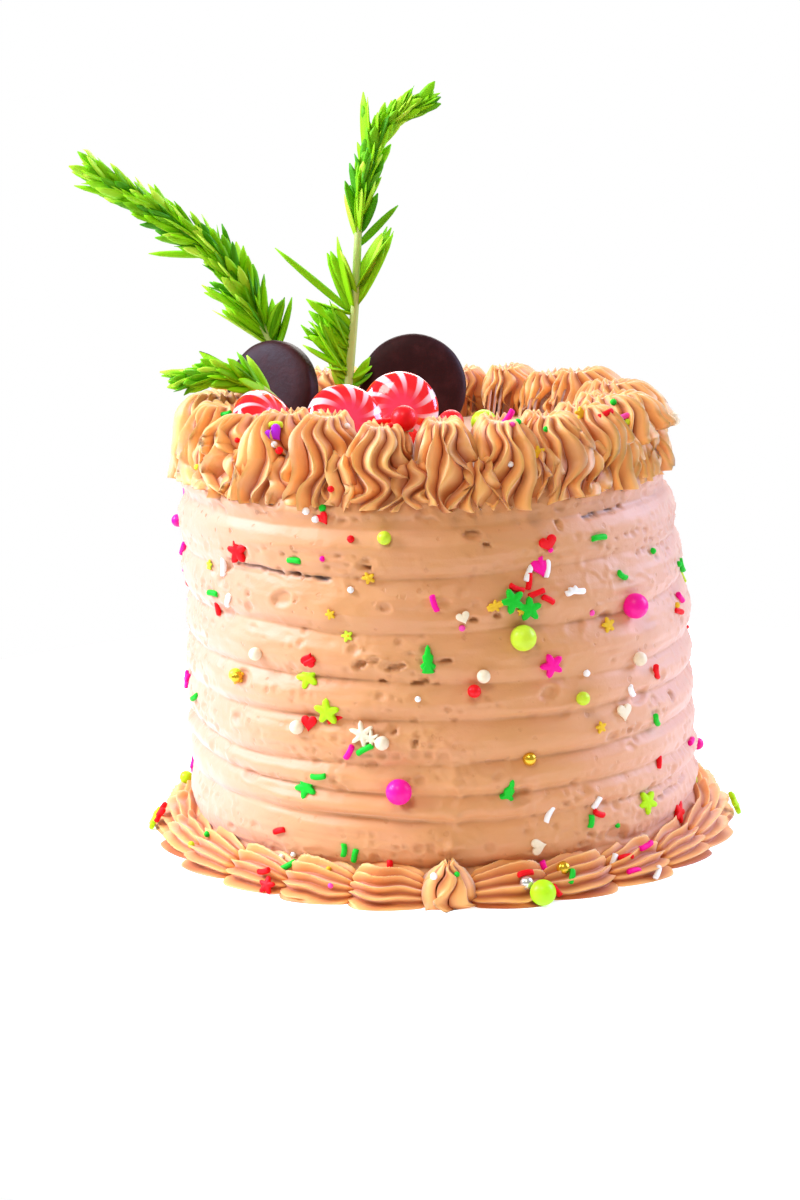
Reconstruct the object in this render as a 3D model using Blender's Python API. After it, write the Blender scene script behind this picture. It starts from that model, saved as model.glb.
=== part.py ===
# Chocolate cake: a tall round cake in caramel frosting, with a piped border above and below,
# three sprigs of rosemary, two dark chocolate discs, three striped mints and sugar sprinkles.
# Metres, +Z up. The origin is the middle of the flat base and -Y is the front.
# A bearing is an angle round the upright axis: 0 is the front and 90 degrees is +X.

import math
import random

import bmesh
import bpy
import numpy as np
from mathutils import Matrix, Vector
from mathutils.bvhtree import BVHTree

MM = 0.001
GAP = 0.3 * MM
SEED = 11

# The frosted body
SPONGE_DIAMETER = 152 * MM
FROSTING = 8.5 * MM
BODY_RADIUS = SPONGE_DIAMETER / 2 + FROSTING
BODY_HEIGHT = 129 * MM
BODY_TAPER = 5 * MM
SHOULDER_START = 105 * MM
SHOULDER_WIDTH = 9.5 * MM
LEAN = -5 * MM
LEAN_HEIGHT = 118 * MM
GROOVE_HEIGHTS = [10 * MM, 24 * MM, 39 * MM, 54 * MM, 68.5 * MM, 84 * MM, 98.5 * MM]
GROOVE_WAVE = 1.6 * MM
GROOVE_DEPTH = 1.5 * MM
BAND_ROWS = [0.0, 0.28, 0.72]
SHOULDER_ROWS = [0.0, 0.45, 0.8, 1.0]
BODY_COLUMNS = 32
TOP_RINGS = [0.62]

# The swirls round the top edge; the front ones stand where the photo shows them
FRONT_SWIRLS = [-72, -56, -41, -27, -11, 5, 20, 36, 50, 62.5, 75]
BACK_SWIRLS = 13
SWIRL_MIDDLE = 68 * MM
SWIRL_REACH = 14.5 * MM
SWIRL_PEAK_RADIUS = 63 * MM
SWIRL_TOP = 146 * MM
SWIRL_FOOT_OUTSIDE = 121 * MM
SWIRL_FOOT_INSIDE = 128 * MM
SWIRL_FINS = 6
SWIRL_FLUTE = 0.2
SWIRL_FULLNESS = 0.6
SWIRL_CURL = math.radians(105)
SWIRL_ROWS = [0.2, 0.5, 0.82, 1.0]

# The shells round the foot, piped both ways from a dollop at the front
SHELLS_A_SIDE = 12
SHELL_REACH = 14 * MM
SHELL_HEIGHT = 12.5 * MM
SHELL_RIDGES = 4
SHELL_FLUTE = 0.17
SHELL_ROWS = [0.05, 0.35, 0.7, 0.93]
SHELL_TAIL = 0.66
SHELL_ARC = math.radians(104)
DOLLOP_BEARING = -0.5
DOLLOP_WIDTH = 9.5
DOLLOP_HEIGHT = 13.5 * MM

# The toppings: each stands on the top with its face to the front
DISC_THICKNESS = 9 * MM
DISC_ROUNDNESS = 4.0
MINT_RADIUS = 12.5 * MM
MINT_THICKNESS = 11 * MM
MINT_ROUNDNESS = 2.6
TOPPING_SIDES = 18
DISCS = {
    "chocolate_disc_right": {"centre": (-7.5, 12, 144.5), "radius": 18 * MM, "turn": 6, "lean": 10},
    "chocolate_disc_left": {"centre": (-54, 9, 144.3), "radius": 17.5 * MM, "turn": -34, "lean": 12},
}
MINTS = {
    "mint_right": {"centre": (-12, -12, 140.5), "turn": 4, "lean": 14},
    "mint_middle": {"centre": (-29.5, -33, 140), "turn": 18, "lean": 28},
    "mint_left": {"centre": (-54.5, -28, 138.5), "turn": 56, "lean": 30},
}

# The rosemary: routes in millimetres, from the cut end to the tip.
# Tips are single long needles: where on the stem they start, and their end (x, z) in millimetres.
NEEDLE_WIDTH = 3.2 * MM
NEEDLE_THICKNESS = 1.0 * MM
NEEDLE_SHORTEST = 7 * MM
NEEDLE_CLEARANCE = 1.7 * MM
STEM_SIDES = 5
GOLDEN_TURN = math.radians(137.5)
SPRIGS = {
    "rosemary_left": {
        "route": [(-45, 25, 127), (-57, 27, 163), (-69, 22, 186), (-88, 18, 202), (-107, 16, 215)],
        "stem": (1.5 * MM, 0.8 * MM), "steps": 10, "needles": 26, "first": 0.22,
        "length": (22 * MM, 16 * MM), "spread": (44, 20),
        "tips": [(0.2, -50, 176), (0.3, -74, 172), (0.55, -94, 190), (0.88, -117, 213)],
    },
    "rosemary_right": {
        "route": [(-31, 6, 127), (-26, 5, 172), (-23, 5, 205), (-16, 5, 227), (-4, 5, 236)],
        "stem": (1.6 * MM, 0.8 * MM), "steps": 10, "needles": 15, "first": 0.42,
        "length": (21 * MM, 15 * MM), "spread": (32, 18),
        "tips": [(0.25, -51, 192), (0.2, -42, 175), (0.23, -33, 197), (0.24, -10, 199), (0.21, -17, 194),
                 (0.38, -10, 206), (0.11, -44, 169), (0.15, -36, 174), (0.64, -22, 241)],
    },
    "rosemary_low": {
        "route": [(-40, -7, 129), (-54, -9, 146), (-64, -11, 152), (-72, -12, 153), (-79, -13, 152)],
        "stem": (1.5 * MM, 0.8 * MM), "steps": 7, "needles": 12, "first": 0.3,
        "length": (18 * MM, 12 * MM), "spread": (36, 18),
        "tips": [(0.5, -80, 159)],
    },
}

# The larger sprinkles on the front, read from the photo as (kind, bearing, height in mm)
PEARL_LARGE = 4.0 * MM
PEARL_SMALL = 2.3 * MM
STAR_RADIUS = 3.8 * MM
SHAPE_THICKNESS = 1.6 * MM
JIMMY_LENGTH = 5.4 * MM
JIMMY_RADIUS = 0.95 * MM
FRONT_SPRINKLES = [
    ("pearl_large", 18, 80), ("pearl_large", 48, 84), ("pearl_large", -9, 34),
    ("pearl_small", -9, 111), ("pearl_small", -42, 73), ("pearl_small", -12, 50),
    ("pearl_small", -31, 51), ("pearl_small", 9, 69), ("pearl_small", 32, 59),
    ("pearl_small", 49, 66), ("pearl_small", 7, 65),
    ("star", -46, 105), ("star", -28, 68), ("star", -24, 58), ("star", -30, 33), ("star", 25, 70),
    ("star", 21, 89), ("star", -77, 54), ("star", 27, 108), ("star", 50, 23),
    ("snowflake", -16, 52), ("heart", 6, 88), ("heart", 43, 51), ("heart", -29, 54),
    ("jimmy", -51, 98), ("jimmy", -56, 87), ("jimmy", -30, 104), ("jimmy", -2, 75), ("jimmy", 0, 92),
    ("jimmy", -56, 57), ("jimmy", -70, 46), ("jimmy", 19, 96), ("jimmy", 25, 100), ("jimmy", 39, 107),
    ("jimmy", 45, 94), ("jimmy", 56, 60), ("jimmy", 55, 31), ("jimmy", 13, 33), ("jimmy", -24, 36),
]
BACK_SPRINKLES = 15
BACK_KINDS = ["pearl_small", "jimmy", "star", "jimmy", "heart", "jimmy", "pearl_large", "jimmy"]
BACK_LOWEST = 24 * MM
BACK_HIGHEST = 108 * MM

COLOURS = {
    "frosting": ((0.72, 0.40, 0.22, 1), 0.6),
    "chocolate": ((0.06, 0.022, 0.018, 1), 0.5),
    "mint": ((0.85, 0.18, 0.22, 1), 0.2),
    "rosemary": ((0.14, 0.34, 0.02, 1), 0.55),
}


def clear_scene():
    for thing in list(bpy.data.objects):
        bpy.data.objects.remove(thing, do_unlink=True)


def material(name):
    existing = bpy.data.materials.get(name)
    if existing:
        return existing
    made = bpy.data.materials.new(name)
    made.use_nodes = True
    colour, roughness = COLOURS[name]
    shader = made.node_tree.nodes["Principled BSDF"]
    shader.inputs["Base Color"].default_value = colour
    shader.inputs["Roughness"].default_value = roughness
    shader.inputs["Metallic"].default_value = 0.0
    made.diffuse_color = colour
    return made


def make_object(name, points, faces, colour=None, collection=None):
    mesh = bpy.data.meshes.new(name)
    mesh.from_pydata([tuple(p) for p in points], [], faces)
    mesh.validate()
    made = bpy.data.objects.new(name, mesh)
    (collection or bpy.context.scene.collection).objects.link(made)
    if colour:
        mesh.materials.append(material(colour))
    else:
        made.hide_render = True
        made.display_type = 'WIRE'
    return made


def closed_grid(rows, columns, first_pole, last_pole):
    # Faces of a closed surface: a pole, rows of points going round, and a pole.
    # Point 0 is the first pole, the last point is the last pole.
    faces = []
    last = 1 + rows * columns
    for c in range(columns):
        d = (c + 1) % columns
        if first_pole:
            faces.append((0, 1 + c, 1 + d))
        for r in range(rows - 1):
            a = 1 + r * columns
            b = a + columns
            faces.append((a + c, b + c, b + d, a + d))
        if last_pole:
            a = 1 + (rows - 1) * columns
            faces.append((last, a + d, a + c))
    return faces


def outward(obj):
    # All faces of a closed surface turned to point out of it.
    form = bmesh.new()
    form.from_mesh(obj.data)
    bmesh.ops.recalc_face_normals(form, faces=form.faces)
    if form.calc_volume(signed=True) < 0:
        bmesh.ops.reverse_faces(form, faces=form.faces)
    form.to_mesh(obj.data)
    form.free()


def apply_modifiers(obj):
    bpy.context.view_layer.update()
    graph = bpy.context.evaluated_depsgraph_get()
    finished = bpy.data.meshes.new_from_object(obj.evaluated_get(graph))
    obj.modifiers.clear()
    obj.data = finished


def keep_largest(obj):
    # A cut can leave loose scraps beside the piece: only the piece with most points stays.
    form = bmesh.new()
    form.from_mesh(obj.data)
    unseen = set(form.verts)
    islands = []
    while unseen:
        edge_of_search = [unseen.pop()]
        island = list(edge_of_search)
        while edge_of_search:
            vert = edge_of_search.pop()
            for edge in vert.link_edges:
                other = edge.other_vert(vert)
                if other in unseen:
                    unseen.remove(other)
                    island.append(other)
                    edge_of_search.append(other)
        islands.append(island)
    islands.sort(key=len, reverse=True)
    for scrap in islands[1:]:
        bmesh.ops.delete(form, geom=scrap, context='VERTS')
    form.to_mesh(obj.data)
    form.free()


def cut(obj, cutters):
    for cutter in cutters:
        boolean = obj.modifiers.new("cut by " + cutter.name, 'BOOLEAN')
        boolean.operation = 'DIFFERENCE'
        boolean.solver = 'EXACT'
        boolean.object = cutter
    if cutters:
        apply_modifiers(obj)
        keep_largest(obj)


def fuse(obj, small_pieces):
    # One union joins the whole collection of small pieces to the object they lie on.
    boolean = obj.modifiers.new("fuse", 'BOOLEAN')
    boolean.operation = 'UNION'
    boolean.solver = 'EXACT'
    boolean.operand_type = 'COLLECTION'
    boolean.collection = small_pieces
    apply_modifiers(obj)
    keep_largest(obj)
    for piece in list(small_pieces.objects):
        bpy.data.objects.remove(piece, do_unlink=True)
    bpy.data.collections.remove(small_pieces)


def shade(obj, angle=40):
    obj.data.shade_smooth()
    obj.data.set_sharp_from_angle(angle=math.radians(angle))


def new_collection(name):
    made = bpy.data.collections.new(name)
    bpy.context.scene.collection.children.link(made)
    return made


def boxes_meet(one, other):
    low_a, high_a = corner_box(one)
    low_b, high_b = corner_box(other)
    return all(low_a[i] < high_b[i] and low_b[i] < high_a[i] for i in range(3))


def corner_box(obj):
    places = np.array([obj.matrix_world @ v.co for v in obj.data.vertices])
    return places.min(axis=0), places.max(axis=0)


# Round the cake

def around(radius, bearing, z):
    # A point at this radius and bearing, on the axis that leans over towards the top.
    shift = LEAN * np.minimum(z / LEAN_HEIGHT, 1.0) ** 3
    return np.stack([shift + radius * np.sin(bearing), -radius * np.cos(bearing), z], axis=-1)


def body_radius(z):
    # A slow taper, then a quarter of an ellipse over the shoulder.
    side = BODY_RADIUS - BODY_TAPER * (min(z, SHOULDER_START) / BODY_HEIGHT) ** 2
    t = min(max((z - SHOULDER_START) / (BODY_HEIGHT - SHOULDER_START), 0.0), 1.0)
    return side - SHOULDER_WIDTH * (1 - math.sqrt(1 - t * t))


def groove_height(k, bearing):
    if k < 0:
        return 0.0
    if k >= len(GROOVE_HEIGHTS):
        return SHOULDER_START + 8 * MM
    return GROOVE_HEIGHTS[k] + GROOVE_WAVE * math.sin(bearing + 1.9 * k)


def band_bulge(t):
    # Between two grooves the spatula leaves a soft convex band.
    return GROOVE_DEPTH * (math.sin(math.pi * t) ** 0.6 - 0.8)


def body_rows(bearing, grow):
    # The side as (radius, z) pairs from the foot to the rim, at one bearing.
    rows = []
    for k in range(len(GROOVE_HEIGHTS)):
        low = groove_height(k - 1, bearing)
        high = groove_height(k, bearing)
        for t in BAND_ROWS:
            z = low + t * (high - low)
            rows.append((body_radius(z) + band_bulge(t) + grow, z))
    for t in SHOULDER_ROWS:
        low = groove_height(len(GROOVE_HEIGHTS) - 1, bearing)
        z = low + t * (BODY_HEIGHT - low)
        relief = -0.8 * GROOVE_DEPTH * (1 - t)
        rows.append((body_radius(z) + relief + grow, z + grow * t))
    return rows


def frosted_body(name, grow=0.0, colour=None):
    columns = [2 * math.pi * c / BODY_COLUMNS for c in range(BODY_COLUMNS)]
    sides = [body_rows(b, grow) for b in columns]
    count = len(sides[0])
    lowest = -grow * 10
    points = [Vector((0, 0, lowest))]
    for r in range(count):
        for c, bearing in enumerate(columns):
            radius, z = sides[c][r]
            points.append(around(radius, bearing, lowest if r == 0 else z))
    rim = body_radius(BODY_HEIGHT)
    for share in TOP_RINGS:
        for bearing in columns:
            points.append(around(rim * share, bearing, BODY_HEIGHT + grow))
    points.append(around(0.0, 0.0, BODY_HEIGHT + grow))
    faces = closed_grid(count + len(TOP_RINGS), BODY_COLUMNS, False, True)
    faces = [tuple(i - 1 for i in f) for f in faces]
    faces.append(tuple(range(BODY_COLUMNS)))
    body = make_object(name, points[1:], faces, colour)
    outward(body)
    return body


# Piped frosting

def half_gaps(bearings):
    # The middle line between each swirl and the next one round, as (low, high) for each swirl.
    edges = []
    for i, b in enumerate(bearings):
        after = bearings[(i + 1) % len(bearings)]
        edges.append(b + (after - b) % 360 / 2)
    return list(zip([edges[-1] - 360] + edges[:-1], edges))


def ridge(angle, count, depth):
    # A star nozzle's outline: thin ridges with deep round valleys between them.
    return 1 - depth * np.abs(np.cos(count * angle / 2)) ** 0.8


def swirl_points(u, v, low, high, nature):
    # u runs from the peak to the foot, v goes round from the outside of the cake.
    # The ridges sway as they come down, and the surface curls under at the foot.
    turned = v - nature["sway"] * np.sin(2 * math.pi * u * nature["waves"] + nature["phase"]) * u
    bend = u * SWIRL_CURL
    out = np.sin(bend)
    down = (1 - np.cos(bend)) / (1 - math.cos(SWIRL_CURL))
    flute = ridge(v + nature["phase"], nature["fins"], SWIRL_FLUTE * np.minimum(1.0, 0.35 + u))
    sideways = np.sign(np.sin(turned)) * np.abs(np.sin(turned)) ** SWIRL_FULLNESS
    outwards = np.sign(np.cos(turned)) * np.abs(np.cos(turned)) ** SWIRL_FULLNESS
    across = sideways * out * flute
    peak = SWIRL_PEAK_RADIUS + nature["peak_out"]
    edge = SWIRL_MIDDLE + SWIRL_REACH * outwards
    radius = peak + (edge - peak) * out * flute
    foot = SWIRL_FOOT_INSIDE + (SWIRL_FOOT_OUTSIDE - SWIRL_FOOT_INSIDE) * np.sqrt(0.5 + 0.5 * outwards)
    top = SWIRL_TOP + nature["rise"]
    z = top - (top - foot) * down - (1 - flute) * 5 * MM * out
    middle = math.radians((low + high) / 2)
    margin = 0.5 * GAP / (SWIRL_MIDDLE - SWIRL_REACH)
    half = math.radians((high - low) / 2) - margin
    return around(radius, middle + half * across, z)


def swirl_nature(k):
    draw = random.Random(SEED + k)
    return {
        "fins": SWIRL_FINS, "phase": draw.uniform(0, math.pi), "sway": draw.uniform(0.25, 0.5),
        "waves": draw.uniform(0.8, 1.2), "rise": draw.uniform(-1.5, 1.5) * MM,
        "peak_out": draw.uniform(-2, 2) * MM,
    }


def top_swirl(k, low, high, cutters):
    nature = swirl_nature(k)
    columns = 2 * nature["fins"]
    v = np.arange(columns) * 2 * math.pi / columns - nature["phase"] + math.pi / nature["fins"]
    points = [swirl_points(np.array(0.0), np.array(0.0), low, high, nature)]
    for u in SWIRL_ROWS:
        points.extend(swirl_points(np.full(columns, u), v, low, high, nature))
    middle = math.radians((low + high) / 2)
    points.append(around(SWIRL_MIDDLE - 2 * MM, middle, SWIRL_FOOT_OUTSIDE + 4 * MM))
    faces = closed_grid(len(SWIRL_ROWS), columns, True, True)
    swirl = make_object("swirl_%02d" % (k + 1), points, faces, "frosting")
    outward(swirl)
    cut(swirl, [c for c in cutters if boxes_meet(swirl, c)])
    shade(swirl, 30)
    return swirl


def shell_size(s):
    # Narrow at the tail, full towards the head, rounded off at both ends.
    grown = SHELL_TAIL + (1 - SHELL_TAIL) * math.sin(math.pi / 2 * min(s / 0.7, 1.0))
    tail_end = math.sqrt(1 - max(0.0, (0.14 - s) / 0.14) ** 2)
    head_end = math.sqrt(1 - max(0.0, (s - 0.72) / 0.28) ** 2)
    return grown * tail_end * head_end


def shell_section(s, reach, height):
    # From the floor outside, over the ridges, to the body, in and down again: (out, z) pairs.
    size = shell_size(s)
    steps = 2 * SHELL_RIDGES
    section = [(reach * size * 0.94, 0.0)]
    for i in range(1, steps + 1):
        angle = SHELL_ARC * (i - 0.5) / steps
        flute = 1 if i % 2 else 1 - SHELL_FLUTE
        section.append((reach * size * flute * math.cos(angle), height * size * flute * math.sin(angle)))
    section.append((-6 * MM, height * size * 0.9))
    section.append((-6 * MM, 0.0))
    return section


def foot_shell(name, tail, head, cutters, reach=SHELL_REACH, height=SHELL_HEIGHT):
    margin = 0.5 * GAP / BODY_RADIUS
    tail, head = math.radians(tail), math.radians(head)
    way = 1 if head > tail else -1
    tail, head = tail + way * margin, head - way * margin
    points = [around(BODY_RADIUS - 3 * MM, tail, 0.0)]
    for s in SHELL_ROWS:
        for out, z in shell_section(s, reach, height):
            points.append(around(BODY_RADIUS + out, tail + s * (head - tail), np.float64(z)))
    points.append(around(BODY_RADIUS - 3 * MM, head, 0.0))
    columns = len(shell_section(0.5, reach, height))
    faces = closed_grid(len(SHELL_ROWS), columns, True, True)
    shell = make_object(name, points, faces, "frosting")
    outward(shell)
    cut(shell, cutters)
    shade(shell, 30)
    return shell


# Toppings

def rounded_disc(name, radius, thickness, roundness, colour=None):
    # A disc whose half section is a superellipse, with its axis along Z until it is placed.
    shares = [0.0, 0.45, 0.8, 1.0, 0.8, 0.45, 0.0]
    angles = [math.pi * k / 6 for k in range(7)]
    rows = []
    for share, angle in zip(shares, angles):
        flat = abs(math.cos(angle)) ** (2 / roundness)
        wide = max(math.sin(angle), 0.0) ** (2 / roundness)
        rows.append((radius * wide, math.copysign(thickness / 2 * flat, math.cos(angle))))
    points = [(0, 0, rows[0][1])]
    for r, z in rows[1:-1]:
        for side in range(TOPPING_SIDES):
            turn = 2 * math.pi * side / TOPPING_SIDES
            points.append((r * math.cos(turn), r * math.sin(turn), z))
    points.append((0, 0, rows[-1][1]))
    disc = make_object(name, points, closed_grid(5, TOPPING_SIDES, True, True), colour)
    outward(disc)
    return disc


def stand_up(obj, spec):
    # The face looks to the front, turned to the left or right and leaning back.
    upright = Matrix.Rotation(math.radians(90 - spec["lean"]), 4, 'X')
    turned = Matrix.Rotation(math.radians(spec["turn"]), 4, 'Z')
    place = Matrix.Translation(Vector(spec["centre"]) * MM)
    obj.matrix_world = place @ turned @ upright
    bpy.context.view_layer.update()


def topping(name, spec, radius, thickness, roundness, colour, cutters):
    piece = rounded_disc(name, radius, thickness, roundness, colour)
    stand_up(piece, spec)
    guide = rounded_disc(name + "_guide", radius + GAP, thickness + 2 * GAP, roundness)
    stand_up(guide, spec)
    cut(piece, cutters)
    shade(piece)
    return piece, guide


# Rosemary

def smooth_route(route, steps):
    # Catmull-Rom through the route's own points, at even steps.
    nodes = [Vector(p) * MM for p in route]
    nodes = [2 * nodes[0] - nodes[1]] + nodes + [2 * nodes[-1] - nodes[-2]]
    spans = len(route) - 1
    places = []
    for i in range(steps + 1):
        along = min(i / steps * spans, spans - 1e-6)
        k = int(along)
        t = along - k
        a, b, c, d = nodes[k:k + 4]
        places.append(0.5 * ((2 * b) + (c - a) * t + (2 * a - 5 * b + 4 * c - d) * t ** 2
                             + (3 * b - a - 3 * c + d) * t ** 3))
    return places


def tube(name, places, thick, thin):
    # A stem with few sides that gets thinner towards the tip.
    points = [places[0]]
    for i, place in enumerate(places):
        ahead = places[min(i + 1, len(places) - 1)] - places[max(i - 1, 0)]
        frame = ahead.to_track_quat('Z', 'X').to_matrix()
        radius = thick + (thin - thick) * i / (len(places) - 1)
        for side in range(STEM_SIDES):
            turn = 2 * math.pi * side / STEM_SIDES
            points.append(place + frame @ Vector((radius * math.cos(turn), radius * math.sin(turn), 0)))
    points.append(places[-1])
    faces = closed_grid(len(places), STEM_SIDES, True, True)
    stem = make_object(name, points, faces, "rosemary")
    outward(stem)
    return stem


def clear_length(start, direction, length, trees):
    # How far a needle can run before it comes near a neighbour.
    steps = 12
    for i in range(3, steps + 1):
        place = start + direction * length * i / steps
        for tree in trees:
            distance = tree.find_nearest(place)[3]
            if distance < NEEDLE_CLEARANCE:
                return length * (i - 2) / steps
    return length


def needle(name, start, direction, flat, length, collection):
    # A thin leaf, widest past its middle, with its point bent a little to one side.
    side = direction.cross(flat).normalized()
    up = side.cross(direction).normalized()
    bend = up * length * 0.07
    points = []
    for share, wide in ((0.0, 0.6), (0.6, 1.0)):
        middle = start + direction * length * share + bend * share
        for x, z in ((1, 0), (0, 1), (-1, 0), (0, -1)):
            points.append(middle + side * x * wide * NEEDLE_WIDTH / 2 + up * z * wide * NEEDLE_THICKNESS / 2)
    points.append(start + direction * length - bend)
    faces = [(0, 1, 2, 3)]
    for c in range(4):
        d = (c + 1) % 4
        faces.append((c, 4 + c, 4 + d, d))
        faces.append((4 + c, 8, 4 + d))
    leaf = make_object(name, points, faces, "rosemary", collection)
    outward(leaf)


def on_stem(places, share):
    # The place on the stem at this share of its length, and the stem's direction there.
    along = share * (len(places) - 1)
    i = min(int(along), len(places) - 2)
    return places[i].lerp(places[i + 1], along - i), (places[i + 1] - places[i]).normalized()


def sprig(name, spec, trees, cutters):
    places = smooth_route(spec["route"], spec["steps"])
    stem = tube(name, places, *spec["stem"])
    leaves = new_collection(name + "_needles")
    draw = random.Random(name)
    for share, x, z in spec["tips"]:
        start, ahead = on_stem(places, share)
        reach = Vector((x * MM, start.y, z * MM)) - start
        length = clear_length(start, reach.normalized(), reach.length, trees)
        if length > NEEDLE_SHORTEST:
            needle("needle", start, reach.normalized(), ahead, length, leaves)
    for k in range(spec["needles"]):
        share = spec["first"] + (0.99 - spec["first"]) * k / (spec["needles"] - 1)
        start, ahead = on_stem(places, share)
        turn = k * GOLDEN_TURN
        frame = ahead.to_track_quat('Z', 'X').to_matrix()
        sideways = frame @ Vector((math.cos(turn), math.sin(turn), 0))
        wide, narrow = spec["spread"]
        spread = math.radians(wide + (narrow - wide) * share + draw.uniform(-8, 8))
        direction = (ahead * math.cos(spread) + sideways * math.sin(spread)).normalized()
        longest, shortest = spec["length"]
        length = (longest + (shortest - longest) * share) * draw.uniform(0.85, 1.1)
        length = clear_length(start, direction, length, trees)
        if length > NEEDLE_SHORTEST:
            needle("needle", start, direction, ahead, length, leaves)
    fuse(stem, leaves)
    cut(stem, cutters)
    shade(stem, 30)
    return stem


# Sprinkles

def on_side(bearing, z):
    # A place on the frosted side with its outward normal.
    angle = math.radians(bearing)
    rows = body_rows(angle, 0.0)
    heights = [row[1] for row in rows]
    radii = [row[0] for row in rows]
    radius = float(np.interp(z, heights, radii))
    place = Vector(around(radius, angle, np.float64(z)))
    return place, Vector((math.sin(angle), -math.cos(angle), 0.0))


def shape_outline(kind):
    # A flat sprinkle's outline: a star, a six-armed snowflake or a heart.
    if kind == "heart":
        turns = [2 * math.pi * k / 10 for k in range(10)]
        scale = STAR_RADIUS / 17
        return [(16 * math.sin(t) ** 3 * scale,
                 (13 * math.cos(t) - 5 * math.cos(2 * t) - 2 * math.cos(3 * t)) * scale) for t in turns]
    arms = 6 if kind == "snowflake" else 5
    waist = 0.55 if kind == "snowflake" else 0.48
    outline = []
    for k in range(2 * arms):
        reach = STAR_RADIUS * (1 if k % 2 == 0 else waist)
        outline.append((reach * math.sin(math.pi * k / arms), reach * math.cos(math.pi * k / arms)))
    return outline


def sprinkle(kind, place, normal, roll, collection):
    frame = normal.to_track_quat('Z', 'Y').to_matrix().to_4x4() @ Matrix.Rotation(roll, 4, 'Z')
    form = bmesh.new()
    lift = 0.0
    if kind == "pearl_large":
        lift = 0.55 * PEARL_LARGE
        bmesh.ops.create_uvsphere(form, u_segments=7, v_segments=4, radius=PEARL_LARGE)
    elif kind == "pearl_small":
        lift = 0.5 * PEARL_SMALL
        bmesh.ops.create_icosphere(form, subdivisions=1, radius=PEARL_SMALL)
    elif kind == "jimmy":
        lift = 0.35 * JIMMY_RADIUS
        along_x = Matrix.Rotation(math.pi / 2, 4, 'Y')
        bmesh.ops.create_cone(form, cap_ends=True, segments=5, radius1=JIMMY_RADIUS,
                              radius2=JIMMY_RADIUS, depth=JIMMY_LENGTH, matrix=along_x)
    else:
        verts = [form.verts.new((x, y, -SHAPE_THICKNESS / 2)) for x, y in shape_outline(kind)]
        face = form.faces.new(verts)
        lifted = bmesh.ops.extrude_face_region(form, geom=[face])
        raised = [e for e in lifted["geom"] if isinstance(e, bmesh.types.BMVert)]
        bmesh.ops.translate(form, verts=raised, vec=(0, 0, SHAPE_THICKNESS))
    form.transform(Matrix.Translation(place + normal * lift) @ frame)
    mesh = bpy.data.meshes.new(kind)
    form.to_mesh(mesh)
    form.free()
    mesh.materials.append(material("frosting"))
    piece = bpy.data.objects.new(kind, mesh)
    collection.objects.link(piece)
    outward(piece)
    return piece


def all_sprinkles():
    draw = random.Random(SEED)
    scattered = new_collection("sprinkles")
    for kind, bearing, height in FRONT_SPRINKLES:
        place, normal = on_side(bearing, height * MM)
        sprinkle(kind, place, normal, draw.uniform(0, 2 * math.pi), scattered)
    # Round the back they follow the golden angle, which spreads them evenly.
    for k in range(BACK_SPRINKLES):
        bearing = 88 + (k * 137.5) % 184
        height = BACK_LOWEST + (k * 0.618 % 1.0) * (BACK_HIGHEST - BACK_LOWEST)
        place, normal = on_side(bearing, height)
        sprinkle(BACK_KINDS[k % len(BACK_KINDS)], place, normal, draw.uniform(0, 2 * math.pi), scattered)
    return scattered


def build():
    clear_scene()
    body_guide = frosted_body("body_guide", grow=GAP)

    guides = []
    pieces = []
    for name, spec in DISCS.items():
        piece, guide = topping(name, spec, spec["radius"], DISC_THICKNESS, DISC_ROUNDNESS,
                               "chocolate", [body_guide])
        pieces.append(piece)
        guides.append(guide)
    for name, spec in MINTS.items():
        piece, guide = topping(name, spec, MINT_RADIUS, MINT_THICKNESS, MINT_ROUNDNESS,
                               "mint", [body_guide])
        pieces.append(piece)
        guides.append(guide)

    last = FRONT_SWIRLS[-1]
    step = (360 + FRONT_SWIRLS[0] - last) / (BACK_SWIRLS + 1)
    bearings = FRONT_SWIRLS + [last + step * (k + 1) for k in range(BACK_SWIRLS)]
    for k, (low, high) in enumerate(half_gaps(bearings)):
        pieces.append(top_swirl(k, low, high, [body_guide] + guides))

    width = (360 - DOLLOP_WIDTH) / (2 * SHELLS_A_SIDE)
    first = DOLLOP_BEARING + DOLLOP_WIDTH / 2
    for k in range(SHELLS_A_SIDE):
        tail = first + k * width
        foot_shell("shell_right_%02d" % (k + 1), tail, tail + width, [body_guide])
        tail = DOLLOP_BEARING * 2 - tail
        foot_shell("shell_left_%02d" % (k + 1), tail, tail - width, [body_guide])
    foot_shell("shell_dollop", first - DOLLOP_WIDTH, first, [body_guide],
               SHELL_REACH * 0.9, DOLLOP_HEIGHT)

    graph = bpy.context.evaluated_depsgraph_get()
    trees = [BVHTree.FromObject(body_guide, graph)]
    for piece in pieces:
        placed = bmesh.new()
        placed.from_mesh(piece.data)
        placed.transform(piece.matrix_world)
        trees.append(BVHTree.FromBMesh(placed))
        placed.free()
    for name, spec in SPRIGS.items():
        sprig(name, spec, trees, [body_guide])

    body = frosted_body("cake_body", colour="frosting")
    fuse(body, all_sprinkles())
    shade(body)


build()
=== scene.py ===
import math
import random

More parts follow.
